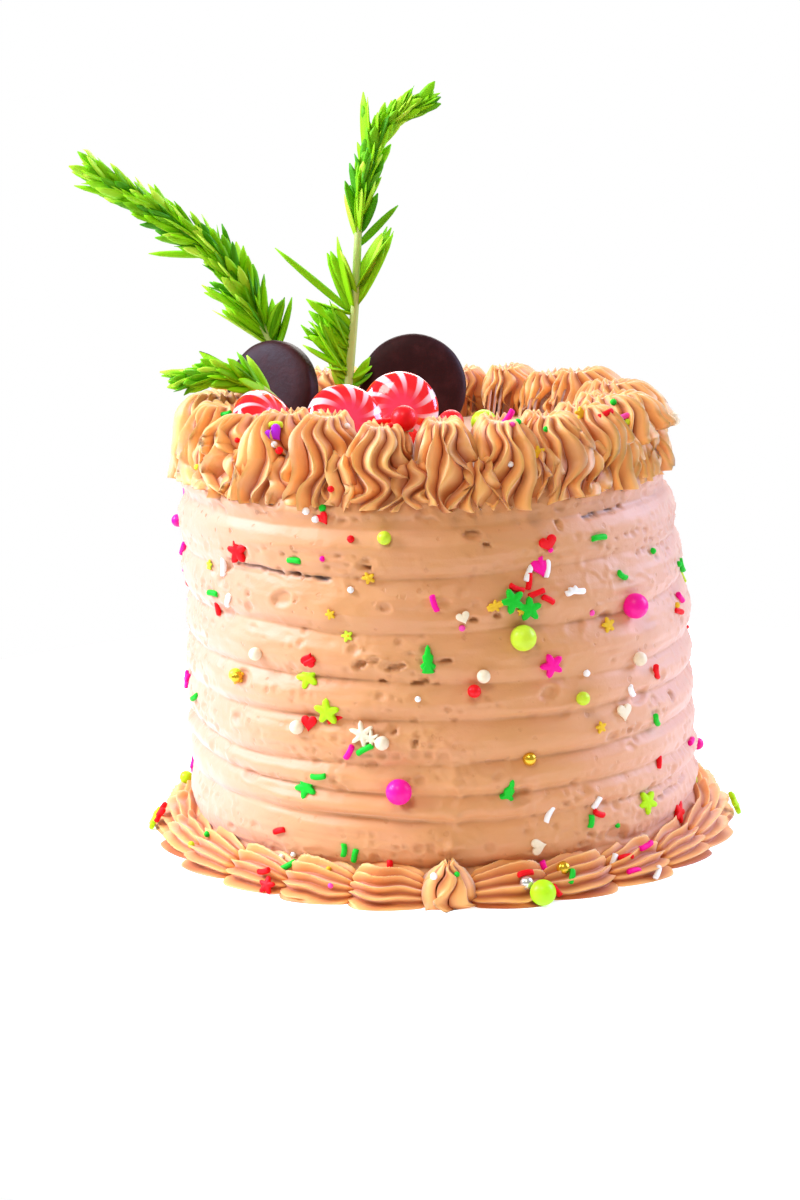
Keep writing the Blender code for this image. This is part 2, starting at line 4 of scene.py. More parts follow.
import bmesh
import bpy
import numpy as np
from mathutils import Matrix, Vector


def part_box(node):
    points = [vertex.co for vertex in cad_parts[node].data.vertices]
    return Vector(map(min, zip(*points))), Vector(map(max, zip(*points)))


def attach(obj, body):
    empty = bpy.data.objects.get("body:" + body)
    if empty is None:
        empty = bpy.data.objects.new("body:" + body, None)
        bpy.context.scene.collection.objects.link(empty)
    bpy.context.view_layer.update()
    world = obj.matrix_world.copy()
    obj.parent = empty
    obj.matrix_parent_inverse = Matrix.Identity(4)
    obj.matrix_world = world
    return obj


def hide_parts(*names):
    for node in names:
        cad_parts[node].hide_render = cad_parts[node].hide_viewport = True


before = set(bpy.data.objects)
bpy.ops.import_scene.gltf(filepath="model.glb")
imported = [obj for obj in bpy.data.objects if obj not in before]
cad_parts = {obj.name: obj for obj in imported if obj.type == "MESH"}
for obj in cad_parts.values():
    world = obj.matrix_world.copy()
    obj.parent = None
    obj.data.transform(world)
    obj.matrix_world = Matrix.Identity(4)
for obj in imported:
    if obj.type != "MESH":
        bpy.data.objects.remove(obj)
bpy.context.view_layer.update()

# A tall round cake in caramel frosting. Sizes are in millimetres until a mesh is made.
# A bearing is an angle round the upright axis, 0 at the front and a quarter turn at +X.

mm = 0.001
turn = 2 * math.pi
# Steps that spread things evenly without rows: an angle in degrees and a share of a length
goldenAngle, goldenShare = 137.5, 0.618
print("frame loaded:", len(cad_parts), "nodes")


# Camera, light and floor

studio = {
    "target": (-13.5, 0.0, 75.0), "distance": 817.0, "pitch": 12.6, "roll": -1.4, "lens": 73.5,
    "imageFocus": 2450.0, "imageSize": (800, 1200),
    "skyForLight": 0.34, "floorNear": 0.42, "floorRadius": 300.0, "floorPlain": 130.0,
    "lamps": {
        "key": {"from": (-640, -40, 500), "size": 380, "watts": 13.0, "colour": (206, 224, 255)},
        "side": {"from": (640, 120, 380), "size": 420, "watts": 6.8, "colour": (186, 206, 255)},
        "front": {"from": (-200, -560, 760), "size": 300, "watts": 3.0, "colour": (255, 250, 244)},
        "back": {"from": (60, 620, 520), "size": 500, "watts": 5.0, "colour": (255, 252, 248)},
    },
}


def linear(colour):
    # A screen colour from 0 to 255 as the light that it stands for.
    share = np.asarray(colour, float) / 255
    return np.where(share <= 0.04045, share / 12.92, ((share + 0.055) / 1.055) ** 2.4)


def rgba(colour):
    # The same with full cover, for a shader's socket.
    return (*[float(c) for c in linear(colour)], 1.0)


def unit(way):
    # The same direction with length 1.
    return way / np.linalg.norm(way)


def unitRows(ways):
    return ways / np.linalg.norm(ways, axis=1, keepdims=True)


def cameraAxes():
    # Forward, right and up: pitched down to the cake, then rolled about the line of sight.
    pitch, roll = math.radians(studio["pitch"]), math.radians(studio["roll"])
    forward = np.array([0, math.cos(pitch), -math.sin(pitch)])
    level = np.array([1.0, 0, 0])
    upright = np.cross(level, forward)
    right = math.cos(roll) * level + math.sin(roll) * upright
    up = -math.sin(roll) * level + math.cos(roll) * upright
    return forward, right, up


def cameraPlace():
    # Straight back from what the camera looks at.
    return np.array(studio["target"]) - cameraAxes()[0] * studio["distance"]


def photoRay(x, y):
    # The line of sight through a point of the 800 x 1200 photograph.
    forward, right, up = cameraAxes()
    across = (x - studio["imageSize"][0] / 2) / studio["imageFocus"]
    down = (y - studio["imageSize"][1] / 2) / studio["imageFocus"]
    return cameraPlace(), unit(forward + right * across - up * down)


def placeWith(right, up, backward, place):
    # A 4 x 4 placement from three directions and a point in millimetres.
    rows = np.eye(4)
    rows[:3, 0], rows[:3, 1], rows[:3, 2] = right, up, backward
    rows[:3, 3] = np.asarray(place) * mm
    return rows.T.tolist()


def makeCamera():
    forward, right, up = cameraAxes()
    lens = bpy.data.cameras.new("camera")
    lens.lens = studio["lens"]
    lens.clip_start, lens.clip_end = 0.05, 20.0
    camera = bpy.data.objects.new("camera", lens)
    bpy.context.scene.collection.objects.link(camera)
    camera.matrix_world = placeWith(right, up, -forward, cameraPlace())
    bpy.context.scene.camera = camera


def makeLamp(name, spec):
    # A square soft box that looks at the middle of the cake.
    lamp = bpy.data.lights.new(name, 'AREA')
    lamp.shape = 'SQUARE'
    lamp.size = spec["size"] * mm
    lamp.energy = spec["watts"]
    lamp.color = [float(c) for c in linear(spec["colour"])]
    holder = bpy.data.objects.new(name, lamp)
    bpy.context.scene.collection.objects.link(holder)
    backward = unit(np.array(spec["from"], float) - np.array(studio["target"]))
    right = unit(np.cross([0, 0, 1], backward))
    holder.matrix_world = placeWith(right, np.cross(backward, right), backward, spec["from"])


def makeSky():
    # White to the camera, and dimmer as a light.
    world = bpy.data.worlds.new("studio")
    world.use_nodes = True
    tree = world.node_tree
    tree.nodes.clear()
    seen = tree.nodes.new('ShaderNodeLightPath')
    lit = tree.nodes.new('ShaderNodeBackground')
    plain = tree.nodes.new('ShaderNodeBackground')
    both = tree.nodes.new('ShaderNodeMixShader')
    out = tree.nodes.new('ShaderNodeOutputWorld')
    lit.inputs["Strength"].default_value = studio["skyForLight"]
    lit.inputs["Color"].default_value = (1, 1, 1, 1)
    plain.inputs["Color"].default_value = (1, 1, 1, 1)
    tree.links.new(seen.outputs["Is Camera Ray"], both.inputs[0])
    tree.links.new(lit.outputs[0], both.inputs[1])
    tree.links.new(plain.outputs[0], both.inputs[2])
    tree.links.new(both.outputs[0], out.inputs["Surface"])
    bpy.context.scene.world = world


makeCamera()
makeSky()
for lampName, lampSpec in studio["lamps"].items():
    makeLamp(lampName, lampSpec)
bpy.context.scene.view_settings.view_transform = 'Standard'
print("camera and lights in place")


# Shader maths on sockets, and the making of a finish

class Socket:
    # One output of a node: sums, differences and products on it add Math nodes.
    def __init__(self, finish, link):
        self.finish, self.link = finish, link

    def math(self, operation, first, second):
        return self.finish.add('ShaderNodeMath', {"operation": operation}, {0: first, 1: second})

    def __add__(self, other):
        return self.math('ADD', self, other)

    def __radd__(self, other):
        return self.math('ADD', other, self)

    def __sub__(self, other):
        return self.math('SUBTRACT', self, other)

    def __mul__(self, other):
        return self.math('MULTIPLY', self, other)

    def __rmul__(self, other):
        return self.math('MULTIPLY', other, self)


class Finish:
    # A material: fixed values go on the shader's own sockets, and nodes feed the few that vary.
    def __init__(self, name, fixed):
        self.material = bpy.data.materials.new(name)
        self.material.use_nodes = True
        self.tree = self.material.node_tree
        self.shader = self.tree.nodes["Principled BSDF"]
        for socket, value in fixed.items():
            self.shader.inputs[socket].default_value = value

    def add(self, kind, settings=None, inputs=None, out=0):
        node = self.tree.nodes.new(kind)
        for setting, value in (settings or {}).items():
            if setting == "stops":
                stops = node.color_ramp.elements
                while len(stops) < len(value):
                    stops.new(0.5)
                for stop, (place, colour) in zip(stops, value):
                    stop.position = place
                    stop.color = colour
            else:
                setattr(node, setting, value)
        for socket, value in (inputs or {}).items():
            if isinstance(value, Socket):
                self.tree.links.new(value.link, node.inputs[socket])
            else:
                node.inputs[socket].default_value = value
        return Socket(self, node.outputs[out])

    def feed(self, socket, value):
        self.tree.links.new(value.link, self.shader.inputs[socket])

    def place(self):
        return self.add('ShaderNodeTexCoord', out="Object")

    def attribute(self, name, out="Fac"):
        return self.add('ShaderNodeAttribute', {"attribute_name": name}, out=out)

    def noise(self, size, detail=3.0, roughness=0.55, vector=None):
        # Soft random values about this many millimetres across.
        return self.add('ShaderNodeTexNoise', {}, {
            "Vector": vector or self.place(), "Scale": 1 / (size * mm),
            "Detail": detail, "Roughness": roughness}, out=0)

    def dots(self, size, share, radius):
        # 1 in uneven spots, in a share of the cells of this size in millimetres. Each is up to this wide.
        cells = {"Vector": self.place(), "Scale": 1 / (size * mm)}
        near = self.add('ShaderNodeTexVoronoi', {}, cells, out="Distance")
        chance = self.add('ShaderNodeTexVoronoi', {}, cells, out="Color")
        chosen = self.add('ShaderNodeSeparateColor', {}, {"Color": chance}, out="Red")
        width = self.add('ShaderNodeSeparateColor', {}, {"Color": chance}, out="Green")
        ragged = near + 0.22 * (self.noise(0.9, 1.0) - 0.5) + radius * 0.75 * width
        return self.ramp(ragged, radius, radius * 0.65) * self.ramp(chosen, 1 - share, 1.02 - share)

    def ramp(self, value, low, high):
        # 0 below low, 1 above high, with a smooth step between them.
        return self.add('ShaderNodeMapRange', {"interpolation_type": 'SMOOTHSTEP'},
                        {"Value": value, "From Min": low, "From Max": high})

    def blend(self, first, second, share):
        return self.add('ShaderNodeMix', {"data_type": 'RGBA'}, {0: share, 6: first, 7: second}, out=2)

    def bump(self, height, strength, depth):
        # Depth in millimetres for a height that goes from 0 to 1.
        self.feed("Normal", self.add('ShaderNodeBump', {}, {
            "Height": height, "Strength": strength, "Distance": depth * mm}))


frostingLook = {
    # The hollow and pit colours are painted shade, the slits' colour is a painted shadow and the pale
    # colour is painted light on the sides.
    "ridge": (255, 183, 96), "hollow": (184, 88, 18), "body": (212, 145, 84), "blush": (218, 147, 98),
    "pale": (220, 158, 122), "pitShade": (184, 114, 54), "slitShadow": (52, 44, 46),
    "mottleSize": 16.0, "grainSize": 0.9, "grainDepth": 0.12, "roughness": 0.52,
    "patchSize": 13.0, "bubbleCell": 3.4, "bubbleDepth": 0.45,
    "softness": 0.15, "softReach": 2.5, "sheen": 0.46, "specular": 0.55,
    # The share of cells with a bubble, its width, and how strongly the blush and the painted shade of the
    # bubbles colour the frosting
    "bubbleShare": 0.75, "bubbleWidth": 0.34, "blushShare": 0.5, "pitShare": 0.75,
}


def frostingFinish(name, high, low, pitted=False):
    # Lighter along the ridges and painted shade deeper in the hollows, with a slow mottle and a fine grain.
    look = frostingLook
    finish = Finish(name, {
        "Roughness": look["roughness"], "Specular IOR Level": look["specular"],
        "Subsurface Weight": look["softness"], "Subsurface Radius": (1.0, 0.45, 0.22),
        "Subsurface Scale": look["softReach"] * mm,
        "Sheen Weight": look["sheen"], "Sheen Roughness": 0.45, "Sheen Tint": (1.0, 0.94, 0.92, 1.0)})
    slow = finish.noise(look["mottleSize"], 2.0)
    blush = finish.ramp(slow, 0.35, 0.75) * look["blushShare"]
    colour = finish.blend(rgba(look[high]), rgba(look["blush"]), blush)
    # Painted shade: darker deep in the hollows, where swirls meet, under folds and in the pits.
    colour = finish.blend(colour, rgba(look[low]), finish.attribute("hollow"))
    # Painted shadow: the slits are painted near black.
    colour = finish.blend(colour, rgba(look["slitShadow"]), finish.attribute("slit"))
    grain = finish.noise(look["grainSize"], 3.0, 0.6)
    if pitted:
        airy = finish.attribute("airy")
        # Painted light: the sides are painted paler, where the lamps wash the frosting out.
        colour = finish.blend(colour, rgba(look["pale"]), finish.attribute("pale"))
        patch = finish.ramp(finish.noise(look["patchSize"], 2.0), 0.4, 0.55) * airy
        bubbles = finish.dots(look["bubbleCell"], look["bubbleShare"], look["bubbleWidth"]) * patch
        # Painted shade in the bubbles' dents.
        colour = finish.blend(colour, rgba(look["pitShade"]), bubbles * look["pitShare"])
        grain = grain * 0.25 - bubbles
    finish.feed("Base Color", colour)
    finish.bump(grain, 0.7, look["bubbleDepth"] if pitted else look["grainDepth"])
    return finish.material


# Numpy helpers

def hashed(a, b, c, seed):
    # A number from 0 to 1 for each lattice corner, from products with large odd numbers.
    mixed = a * 374761393 + b * 668265263 + c * 1103515245 + seed * 1274126177
    mixed = (mixed ^ (mixed >> 13)) * 1274126177
    mixed = mixed ^ (mixed >> 16)
    return (mixed & 0xFFFFFF) / 0x1000000


def latticeNoise(x, y, z, seed):
    # Random values on a unit lattice with smooth blends between them, from -1 to 1.
    x, y, z = np.broadcast_arrays(x, y, z)
    low = [np.floor(a).astype(np.int64) for a in (x, y, z)]
    part = [a - b for a, b in zip((x, y, z), low)]
    part = [p * p * (3 - 2 * p) for p in part]
    total = 0.0
    for corner in range(8):
        step = [(corner >> i) & 1 for i in range(3)]
        weight = 1.0
        for p, s in zip(part, step):
            weight = weight * (p if s else 1 - p)
        total = total + weight * hashed(low[0] + step[0], low[1] + step[1], low[2] + step[2], seed)
    return 2 * total - 1


def layered(x, y, z, seed, layers=3):
    # Noise with finer and weaker noise added to it.
    total, weight = 0.0, 1.0
    for k in range(layers):
        total = total + weight * latticeNoise(x * 2 ** k, y * 2 ** k, z * 2 ** k, seed + 17 * k)
        weight *= 0.5
    return total


def smoothStep(value, low, high):
    # 0 below low and 1 above high, with a cubic between them that starts and ends level.
    share = np.clip((value - low) / (high - low), 0.0, 1.0)
    return share * share * (3 - 2 * share)


def signedPower(value, power):
    # A power of the size alone, with the sign kept.
    return np.sign(value) * np.abs(value) ** power


def signedDegrees(bearing):
    # A bearing in degrees, from -180 to 180.
    return np.degrees((bearing + math.pi) % turn - math.pi)


def meshFrom(name, points, quads, triangles, attributes=None, colours=None, finish=None):
    # Points in millimetres, four-sided and three-sided faces, and values on the points.
    mesh = bpy.data.meshes.new(name)
    loops = np.concatenate([quads.reshape(-1), triangles.reshape(-1)]).astype(np.int32)
    totals = np.concatenate([np.full(len(quads), 4), np.full(len(triangles), 3)]).astype(np.int32)
    starts = np.concatenate([[0], np.cumsum(totals)[:-1]]).astype(np.int32)
    mesh.vertices.add(len(points))
    mesh.vertices.foreach_set("co", (points * mm).astype(np.float32).reshape(-1))
    mesh.loops.add(len(loops))
    mesh.loops.foreach_set("vertex_index", loops)
    mesh.polygons.add(len(totals))
    mesh.polygons.foreach_set("loop_start", starts)
    mesh.polygons.foreach_set("loop_total", totals)
    mesh.update(calc_edges=True)
    mesh.polygons.foreach_set("use_smooth", np.ones(len(totals), bool))
    for key, values in (attributes or {}).items():
        layer = mesh.attributes.new(key, 'FLOAT', 'POINT')
        layer.data.foreach_set("value", np.asarray(values, np.float32).reshape(-1))
    for key, values in (colours or {}).items():
        layer = mesh.attributes.new(key, 'FLOAT_COLOR', 'POINT')
        layer.data.foreach_set("color", np.asarray(values, np.float32).reshape(-1))
    mesh.validate()
    piece = bpy.data.objects.new(name, mesh)
    bpy.context.scene.collection.objects.link(piece)
    if finish:
        mesh.materials.append(finish)
    return piece


def ringFaces(rows, columns, offset=0):
    # Faces of a closed form whose first and last points are poles, with rows of points between them.
    r, c = np.meshgrid(np.arange(rows - 1), np.arange(columns), indexing="ij")
    d = (c + 1) % columns
    base = offset + 1
    quads = np.stack([base + r * columns + c, base + (r + 1) * columns + c,
                      base + (r + 1) * columns + d, base + r * columns + d], -1).reshape(-1, 4)
    c = np.arange(columns)
    d = (c + 1) % columns
    first = np.stack([np.full(columns, offset), base + c, base + d], -1)
    lastPoint = offset + 1 + rows * columns
    lastRow = base + (rows - 1) * columns
    last = np.stack([np.full(columns, lastPoint), lastRow + d, lastRow + c], -1)
    return quads, np.concatenate([first, last])


def closedForm(name, grid, first, last, values=None, finish=None, flip=False):
    # A grid of points (row, column, xyz) closed at two poles, with values (row, column) on its points.
    rows, columns = grid.shape[:2]
    points = np.concatenate([[first], grid.reshape(-1, 3), [last]])
    quads, triangles = ringFaces(rows, columns)
    if flip:
        quads, triangles = quads[:, ::-1], triangles[:, ::-1]
    spread = {}
    for key, value in (values or {}).items():
        spread[key] = np.concatenate([[value[0].mean()], value.reshape(-1), [value[-1].mean()]])
    return meshFrom(name, points, quads, triangles, spread, None, finish)


def boxOf(piece):
    # The lowest and the highest corner of a piece in millimetres.
    corners = np.array(piece.bound_box) / mm
    return corners.min(0), corners.max(0)


def closeTo(place, box, reach):
    # Whether a point comes within this reach of a box.
    return bool(np.all(place > box[0] - reach) and np.all(place < box[1] + reach))


def standsFor(piece, slot, *nodes):
    # The piece rides on the cake and replaces these solids.
    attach(piece, "root")
    if nodes:
        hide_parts(*nodes)
    return piece


# The frosted body

body = {
    "radius": 84.5, "height": 129.0, "taper": 5.0, "shoulderStart": 105.0, "shoulderWidth": 9.5,
    "lean": -5.0, "leanHeight": 118.0,
    "grooves": [10, 23, 33, 42, 54, 67, 83.5, 98.5], "grooveWave": 1.3, "grooveDepth": 2.4,
    "frontColumns": 340, "backColumns": 160, "frontHalf": 96.0,
    "sideRows": 176, "sideTop": 121.0, "shoulderRows": 10, "topRows": 12,
    "wander": 1.1, "wanderSize": 30.0, "lastBand": 114.0, "lastBandEnd": 120.0,
    # Depths and heights of the relief, and how long and how tall its uneven parts are
    "streakDepth": 0.3, "unevenness": 0.7, "lumpDepth": 0.32, "pitDepth": 1.2, "holeDepth": 1.7,
    "holeRim": 0.25, "slitDepth": 1.6, "smearLift": 0.35,
    "unevenSize": (36.0, 26.0), "calmSize": (34.0, 11.0), "streakSize": (26.0, 1.8), "lumpSize": (7.0, 3.6),
    "tornSize": (6.0, 5.0), "tornPatch": (17.0, 13.0),
    "largePits": {"size": 6.0, "seed": 19, "share": 0.16, "stretch": 1.7},
    "smallPits": {"size": 3.6, "seed": 23, "share": 0.75, "stretch": 1.3},
    # Between which heights the relief grows at the foot and fades at the rim
    "footFade": (0.0, 4.0), "rimFade": (119.0, 124.0),
    "topUneven": 0.5, "topUnevenSize": 14,
    # Where the bubbles come in, by height and by bearing to the left, and where painted light makes the
    # sides paler
    "airyHeights": (84.0, 98.0), "airyBearings": (12.0, 30.0), "paleBearings": (20.0, 68.0),
    # Slits cut in and painted dark as shadow lines: (bearing, height) at both ends, half width
    "slits": [(-52.5, 100.6, -22.5, 98.6, 0.45), (36.5, 113.2, 50, 114.2, 0.5), (48, 19.0, 71, 22.0, 0.6)],
    # Larger holes: bearing, height, half length, half height, slant in degrees
    "holes": [(9.3, 111.8, 3.0, 1.4, 0), (12, 108.8, 1.4, 0.7, -12), (-9.7, 72.6, 3.2, 1.2, 14),
              (-4.8, 67.7, 3.1, 0.8, 9), (-13, 67.9, 1.2, 0.6, 0), (29.5, 112.4, 1.4, 0.8, 65),
              (-17.2, 73.2, 2.4, 1.2, 25), (-14, 102.8, 1.3, 0.7, 0), (7.2, 86.6, 1.5, 0.7, 5),
              (12.4, 87.6, 1.2, 0.8, 0), (-6.5, 49.2, 1.2, 0.9, 30), (-10.8, 52, 0.9, 0.7, 0),
              (0.8, 74.2, 2.0, 0.8, 5), (60, 51, 1.7, 1.4, 40)],
    # Bearing, lowest and highest, half width in degrees
    "seam": (0.5, 15, 46, 1.4), "tornHeight": 0.55,
    # Long smooth smears of the spatula: bearing and height at both ends, half height
    "smears": [(-60, 26.5, 0, 24.0, 4.2), (-70, 111.5, 60, 112.5, 4.0), (-20, 86.0, 12, 85.5, 3.0)],
}


def around(radius, bearing, z):
    # A point at this radius and bearing, on the axis that leans over towards the top.
    shift = body["lean"] * np.minimum(z / body["leanHeight"], 1.0) ** 3
    x, y, z = np.broadcast_arrays(shift + radius * np.sin(bearing), -radius * np.cos(bearing), z)
    return np.stack([x, y, z], axis=-1)


def plainRadius(z):
    # A slow taper, then a quarter of an ellipse over the shoulder.
    side = body["radius"] - body["taper"] * (np.minimum(z, body["shoulderStart"]) / body["height"]) ** 2
    t = np.clip((z - body["shoulderStart"]) / (body["height"] - body["shoulderStart"]), 0.0, 1.0)
    return side - body["shoulderWidth"] * (1 - np.sqrt(1 - t * t))


def onSide(bearing, z, along, up):
    # Coordinates for noise that is this long round the side and this tall.
    return (body["radius"] * np.sin(bearing) / along, body["radius"] * np.cos(bearing) / along, z / up)


def grooveLine(k, bearing):
    # A groove's height: a slow wave, and a wander of its own.
    wave = body["grooveWave"] * np.sin(bearing + 1.9 * k)
    wander = latticeNoise(*onSide(bearing, 0 * bearing + 9.7 * k, body["wanderSize"], 1.0), 5)
    return body["grooves"][k] + wave + body["wander"] * wander


def bands(bearing, z):
    # Between two grooves the spatula leaves a soft convex band, steeper at its upper edge.
    lines = [np.zeros_like(bearing)] + [grooveLine(k, bearing) for k in range(len(body["grooves"]))]
    lines.append(0 * bearing + body["lastBand"])
    relief = np.zeros_like(z)
    strength = 0.95 + 0.6 * latticeNoise(*onSide(bearing, z, 38.0, 13.0), 31)
    for low, high in zip(lines[:-1], lines[1:]):
        t = np.clip((z - low) / (high - low), 0.0, 1.0)
        inside = (z >= low) & (z < high)
        bulge = body["grooveDepth"] * (np.sin(math.pi * t ** 0.88) ** 0.8 - 0.72)
        relief = np.where(inside, bulge * strength, relief)
    above = z >= lines[-1]
    last = -0.8 * body["grooveDepth"] * (1 - smoothStep(z, body["lastBand"], body["lastBandEnd"]))
    return np.where(above, last, relief)


def pits(bearing, z, size, seed, share, stretch):
    # One crater in some cells of a lattice round the side. Each has its own place, size and slant.
    columns = int(turn * body["radius"] / size)
    x = (bearing % turn) / turn * columns
    y = z / size
    depth = np.zeros_like(z)
    rim = np.zeros_like(z)
    for dx in (-1, 0, 1):
        for dy in (-1, 0, 1):
            cellX = np.floor(x).astype(np.int64) + dx
            cellY = np.floor(y).astype(np.int64) + dy
            wrapped = np.mod(cellX, columns)
            draws = [hashed(wrapped, cellY, 0 * cellY + k, seed) for k in range(5)]
            patch = latticeNoise(wrapped / 7.0, cellY / 4.0, 0.5, seed + 3) * 0.5 + 0.5
            px = x - cellX - 0.2 - 0.6 * draws[0]
            py = y - cellY - 0.2 - 0.6 * draws[1]
            reach = 0.16 + 0.34 * draws[2] ** 2
            slant = math.pi * (0.3 * draws[3] - 0.1)
            along = px * np.cos(slant) + py * np.sin(slant)
            across = py * np.cos(slant) - px * np.sin(slant)
            r = np.sqrt((along / stretch) ** 2 + across ** 2) / reach
            here = draws[4] < share * smoothStep(patch, 0.35, 0.7)
            bowl = smoothStep(1 - r, 0.0, 0.45) * (0.45 + 0.55 * draws[2])
            depth = np.maximum(depth, np.where(here, bowl, 0.0))
            rim = np.maximum(rim, np.where(here, np.exp(-((r - 1.15) / 0.22) ** 2), 0.0))
    return depth, rim


def lineMask(bearing, z, ends, softness):
    # 1 on a line drawn round the side between two places, falling off across and at its ends.
    b0, z0, b1, z1, half = ends
    degrees = signedDegrees(bearing)
    share = (degrees - b0) / (b1 - b0)
    height = z0 + (z1 - z0) * share
    inside = smoothStep(share, -0.02, 0.06) * smoothStep(1 - share, -0.02, 0.06)
    return inside * smoothStep(-np.abs(z - height) / half, -1.0 - softness, -1.0 + softness)


def ovals(bearing, z):
    # The larger holes, each an ellipse with a raised rim: depth of the bowl and height of the rim.
    depth, rim = np.zeros_like(z), np.zeros_like(z)
    degrees = signedDegrees(bearing)
    for middle, height, halfLong, halfTall, slant in body["holes"]:
        along = np.radians(degrees - middle) * body["radius"]
        up = z - height
        c, s = math.cos(math.radians(slant)), math.sin(math.radians(slant))
        r = np.sqrt(((along * c + up * s) / halfLong) ** 2 + ((up * c - along * s) / halfTall) ** 2)
        depth = np.maximum(depth, smoothStep(1.12 - r, 0.0, 0.35))
        rim = np.maximum(rim, np.exp(-((r - 1.25) / 0.2) ** 2))
    return depth, rim


def seam(bearing, z):
    # Where the spatula was lifted: a low upright ridge of torn frosting.
    centre, low, high, half = body["seam"]
    degrees = signedDegrees(bearing)
    wander = 1.6 * latticeNoise(z / 7.0, 0.3, 0.7, 55)
    across = np.exp(-((degrees - centre - wander) / half) ** 2)
    return across * smoothStep(z, low - 3, low + 3) * (1 - smoothStep(z, high - 4, high + 4))


def sideRelief(bearing, z):
    # How far the frosting stands out from the plain side, with how much painted shade its pits and holes
    # get and where its slits are.
    relief = bands(bearing, z)
    relief = relief + body["unevenness"] * layered(*onSide(bearing, z, *body["unevenSize"]), 3, 2)
    smear = np.clip(sum(lineMask(bearing, z, ends, 0.35) for ends in body["smears"]), 0, 1)
    calm = smoothStep(layered(*onSide(bearing, z, *body["calmSize"]), 61, 2), -0.1, 0.55)
    rough = (1 - 0.85 * smear) * (1 - 0.6 * calm)
    streak = layered(*onSide(bearing, z, *body["streakSize"]), 71, 3)
    relief = relief + body["streakDepth"] * streak * (0.6 + 0.6 * calm)
    lumps = layered(*onSide(bearing, z, *body["lumpSize"]), 77, 3)
    relief = relief + body["lumpDepth"] * lumps * (0.25 + 0.75 * rough)
    # Torn frosting: short sharp crests where noise changes sign, upright as often as level.
    torn = 1 - np.abs(layered(*onSide(bearing, z, *body["tornSize"]), 83, 2)) / 0.18
    tornHere = smoothStep(latticeNoise(*onSide(bearing, z, *body["tornPatch"]), 87), 0.0, 0.5)
    relief = relief + body["tornHeight"] * np.clip(torn, 0, 1) * tornHere * rough
    ridge = seam(bearing, z)
    relief = relief + ridge * (0.8 + 1.1 * layered(*onSide(bearing, z, 4.0, 4.0), 91, 2))
    large, largeRim = pits(bearing, z, **body["largePits"])
    small, smallRim = pits(bearing, z, **body["smallPits"])
    hole, holeRim = ovals(bearing, z)
    pitted = 0.9 * large - 0.2 * largeRim + 0.6 * small - 0.15 * smallRim
    relief = relief - body["pitDepth"] * rough * pitted
    relief = relief - body["holeDepth"] * hole + body["holeRim"] * holeRim
    relief = relief + body["smearLift"] * smear
    ragged = z + 0.5 * latticeNoise(*onSide(bearing, 0 * z, 5.0, 1.0), 41)
    slit = sum(lineMask(bearing, ragged, ends, 0.5) for ends in body["slits"])
    broken = smoothStep(layered(*onSide(bearing, 0 * z, 2.6, 1.0), 47, 2), -0.35, 0.15)
    slit = np.clip(slit, 0, 1) * (0.25 + 0.75 * broken)
    relief = relief - body["slitDepth"] * slit
    # The second value is painted shade for the pits and holes, and the third marks the slits, which are
    # painted dark as shadow lines.
    return relief, np.clip((large * 0.2 + small * 0.3) * rough + hole * 0.4, 0, 1), slit


def makeBody():
    # Rows of points from the foot to the rim and in to the middle of the top, closed by the flat foot.
    half = math.radians(body["frontHalf"])
    front = np.linspace(-half, half, body["frontColumns"], endpoint=False)
    back = np.linspace(half, turn - half, body["backColumns"], endpoint=False)
    bearing = np.concatenate([front, back])
    side = np.linspace(0.0, body["sideTop"], body["sideRows"])
    shoulder = body["height"] - body["shoulderStart"]
    lowAngle = math.asin((body["sideTop"] - body["shoulderStart"]) / shoulder)
    angles = np.linspace(lowAngle, math.pi / 2, body["shoulderRows"] + 1)[1:]
    heights = body["shoulderStart"] + shoulder * np.sin(angles)
    z = np.concatenate([side, heights])
    gridB, gridZ = np.meshgrid(bearing, z)
    relief, pitted, slit = sideRelief(gridB, gridZ)
    keep = smoothStep(gridZ, *body["footFade"]) * (1 - smoothStep(gridZ, *body["rimFade"]))
    grid = around(plainRadius(gridZ) + relief * keep, gridB, gridZ)
    rim = plainRadius(np.array(body["height"]))
    shares = np.linspace(1, 0, body["topRows"] + 1)[1:-1]
    topB, topShare = np.meshgrid(bearing, shares)
    topX, topY = [topShare * rim * part / body["topUnevenSize"] for part in (np.sin(topB), np.cos(topB))]
    uneven = body["topUneven"] * layered(topX, topY, 0.3, 97, 2)
    topZ = body["height"] + uneven * smoothStep(1 - topShare, 0, 0.2)
    top = around(rim * topShare, topB, topZ)
    grid = np.concatenate([grid, top])
    none = np.zeros(top.shape[:2])
    # Painted shade in the pits and holes, and painted shadow in the slits.
    hollow = np.concatenate([np.clip(pitted * keep, 0, 1), none])
    dark = np.concatenate([slit * keep, none])
    # Most bubbles lie in the upper bands on the left, and few in the middle.
    degrees = signedDegrees(gridB)
    airy = smoothStep(gridZ, *body["airyHeights"]) * smoothStep(-degrees, *body["airyBearings"])
    airy = np.concatenate([0.35 + 0.65 * airy, none])
    # Painted light: the frosting is painted paler where it turns to the sides, where the lamps wash it out.
    pale = np.concatenate([smoothStep(np.abs(degrees), *body["paleBearings"]), none])
    finish = frostingFinish("frosting on the side", "body", "pitShade", pitted=True)
    middle = around(np.array(0.0), np.array(0.0), np.array(body["height"]))
    values = {"hollow": hollow, "slit": dark, "airy": airy, "pale": pale}
    piece = closedForm("frosted_side", grid, (0.0, 0.0, 0.0), middle, values, finish, flip=True)
    return standsFor(piece, "frosting", "cake_body")


frostedSide = makeBody()
print("frosted side:", len(frostedSide.data.vertices), "points")


# The swirls round the top edge

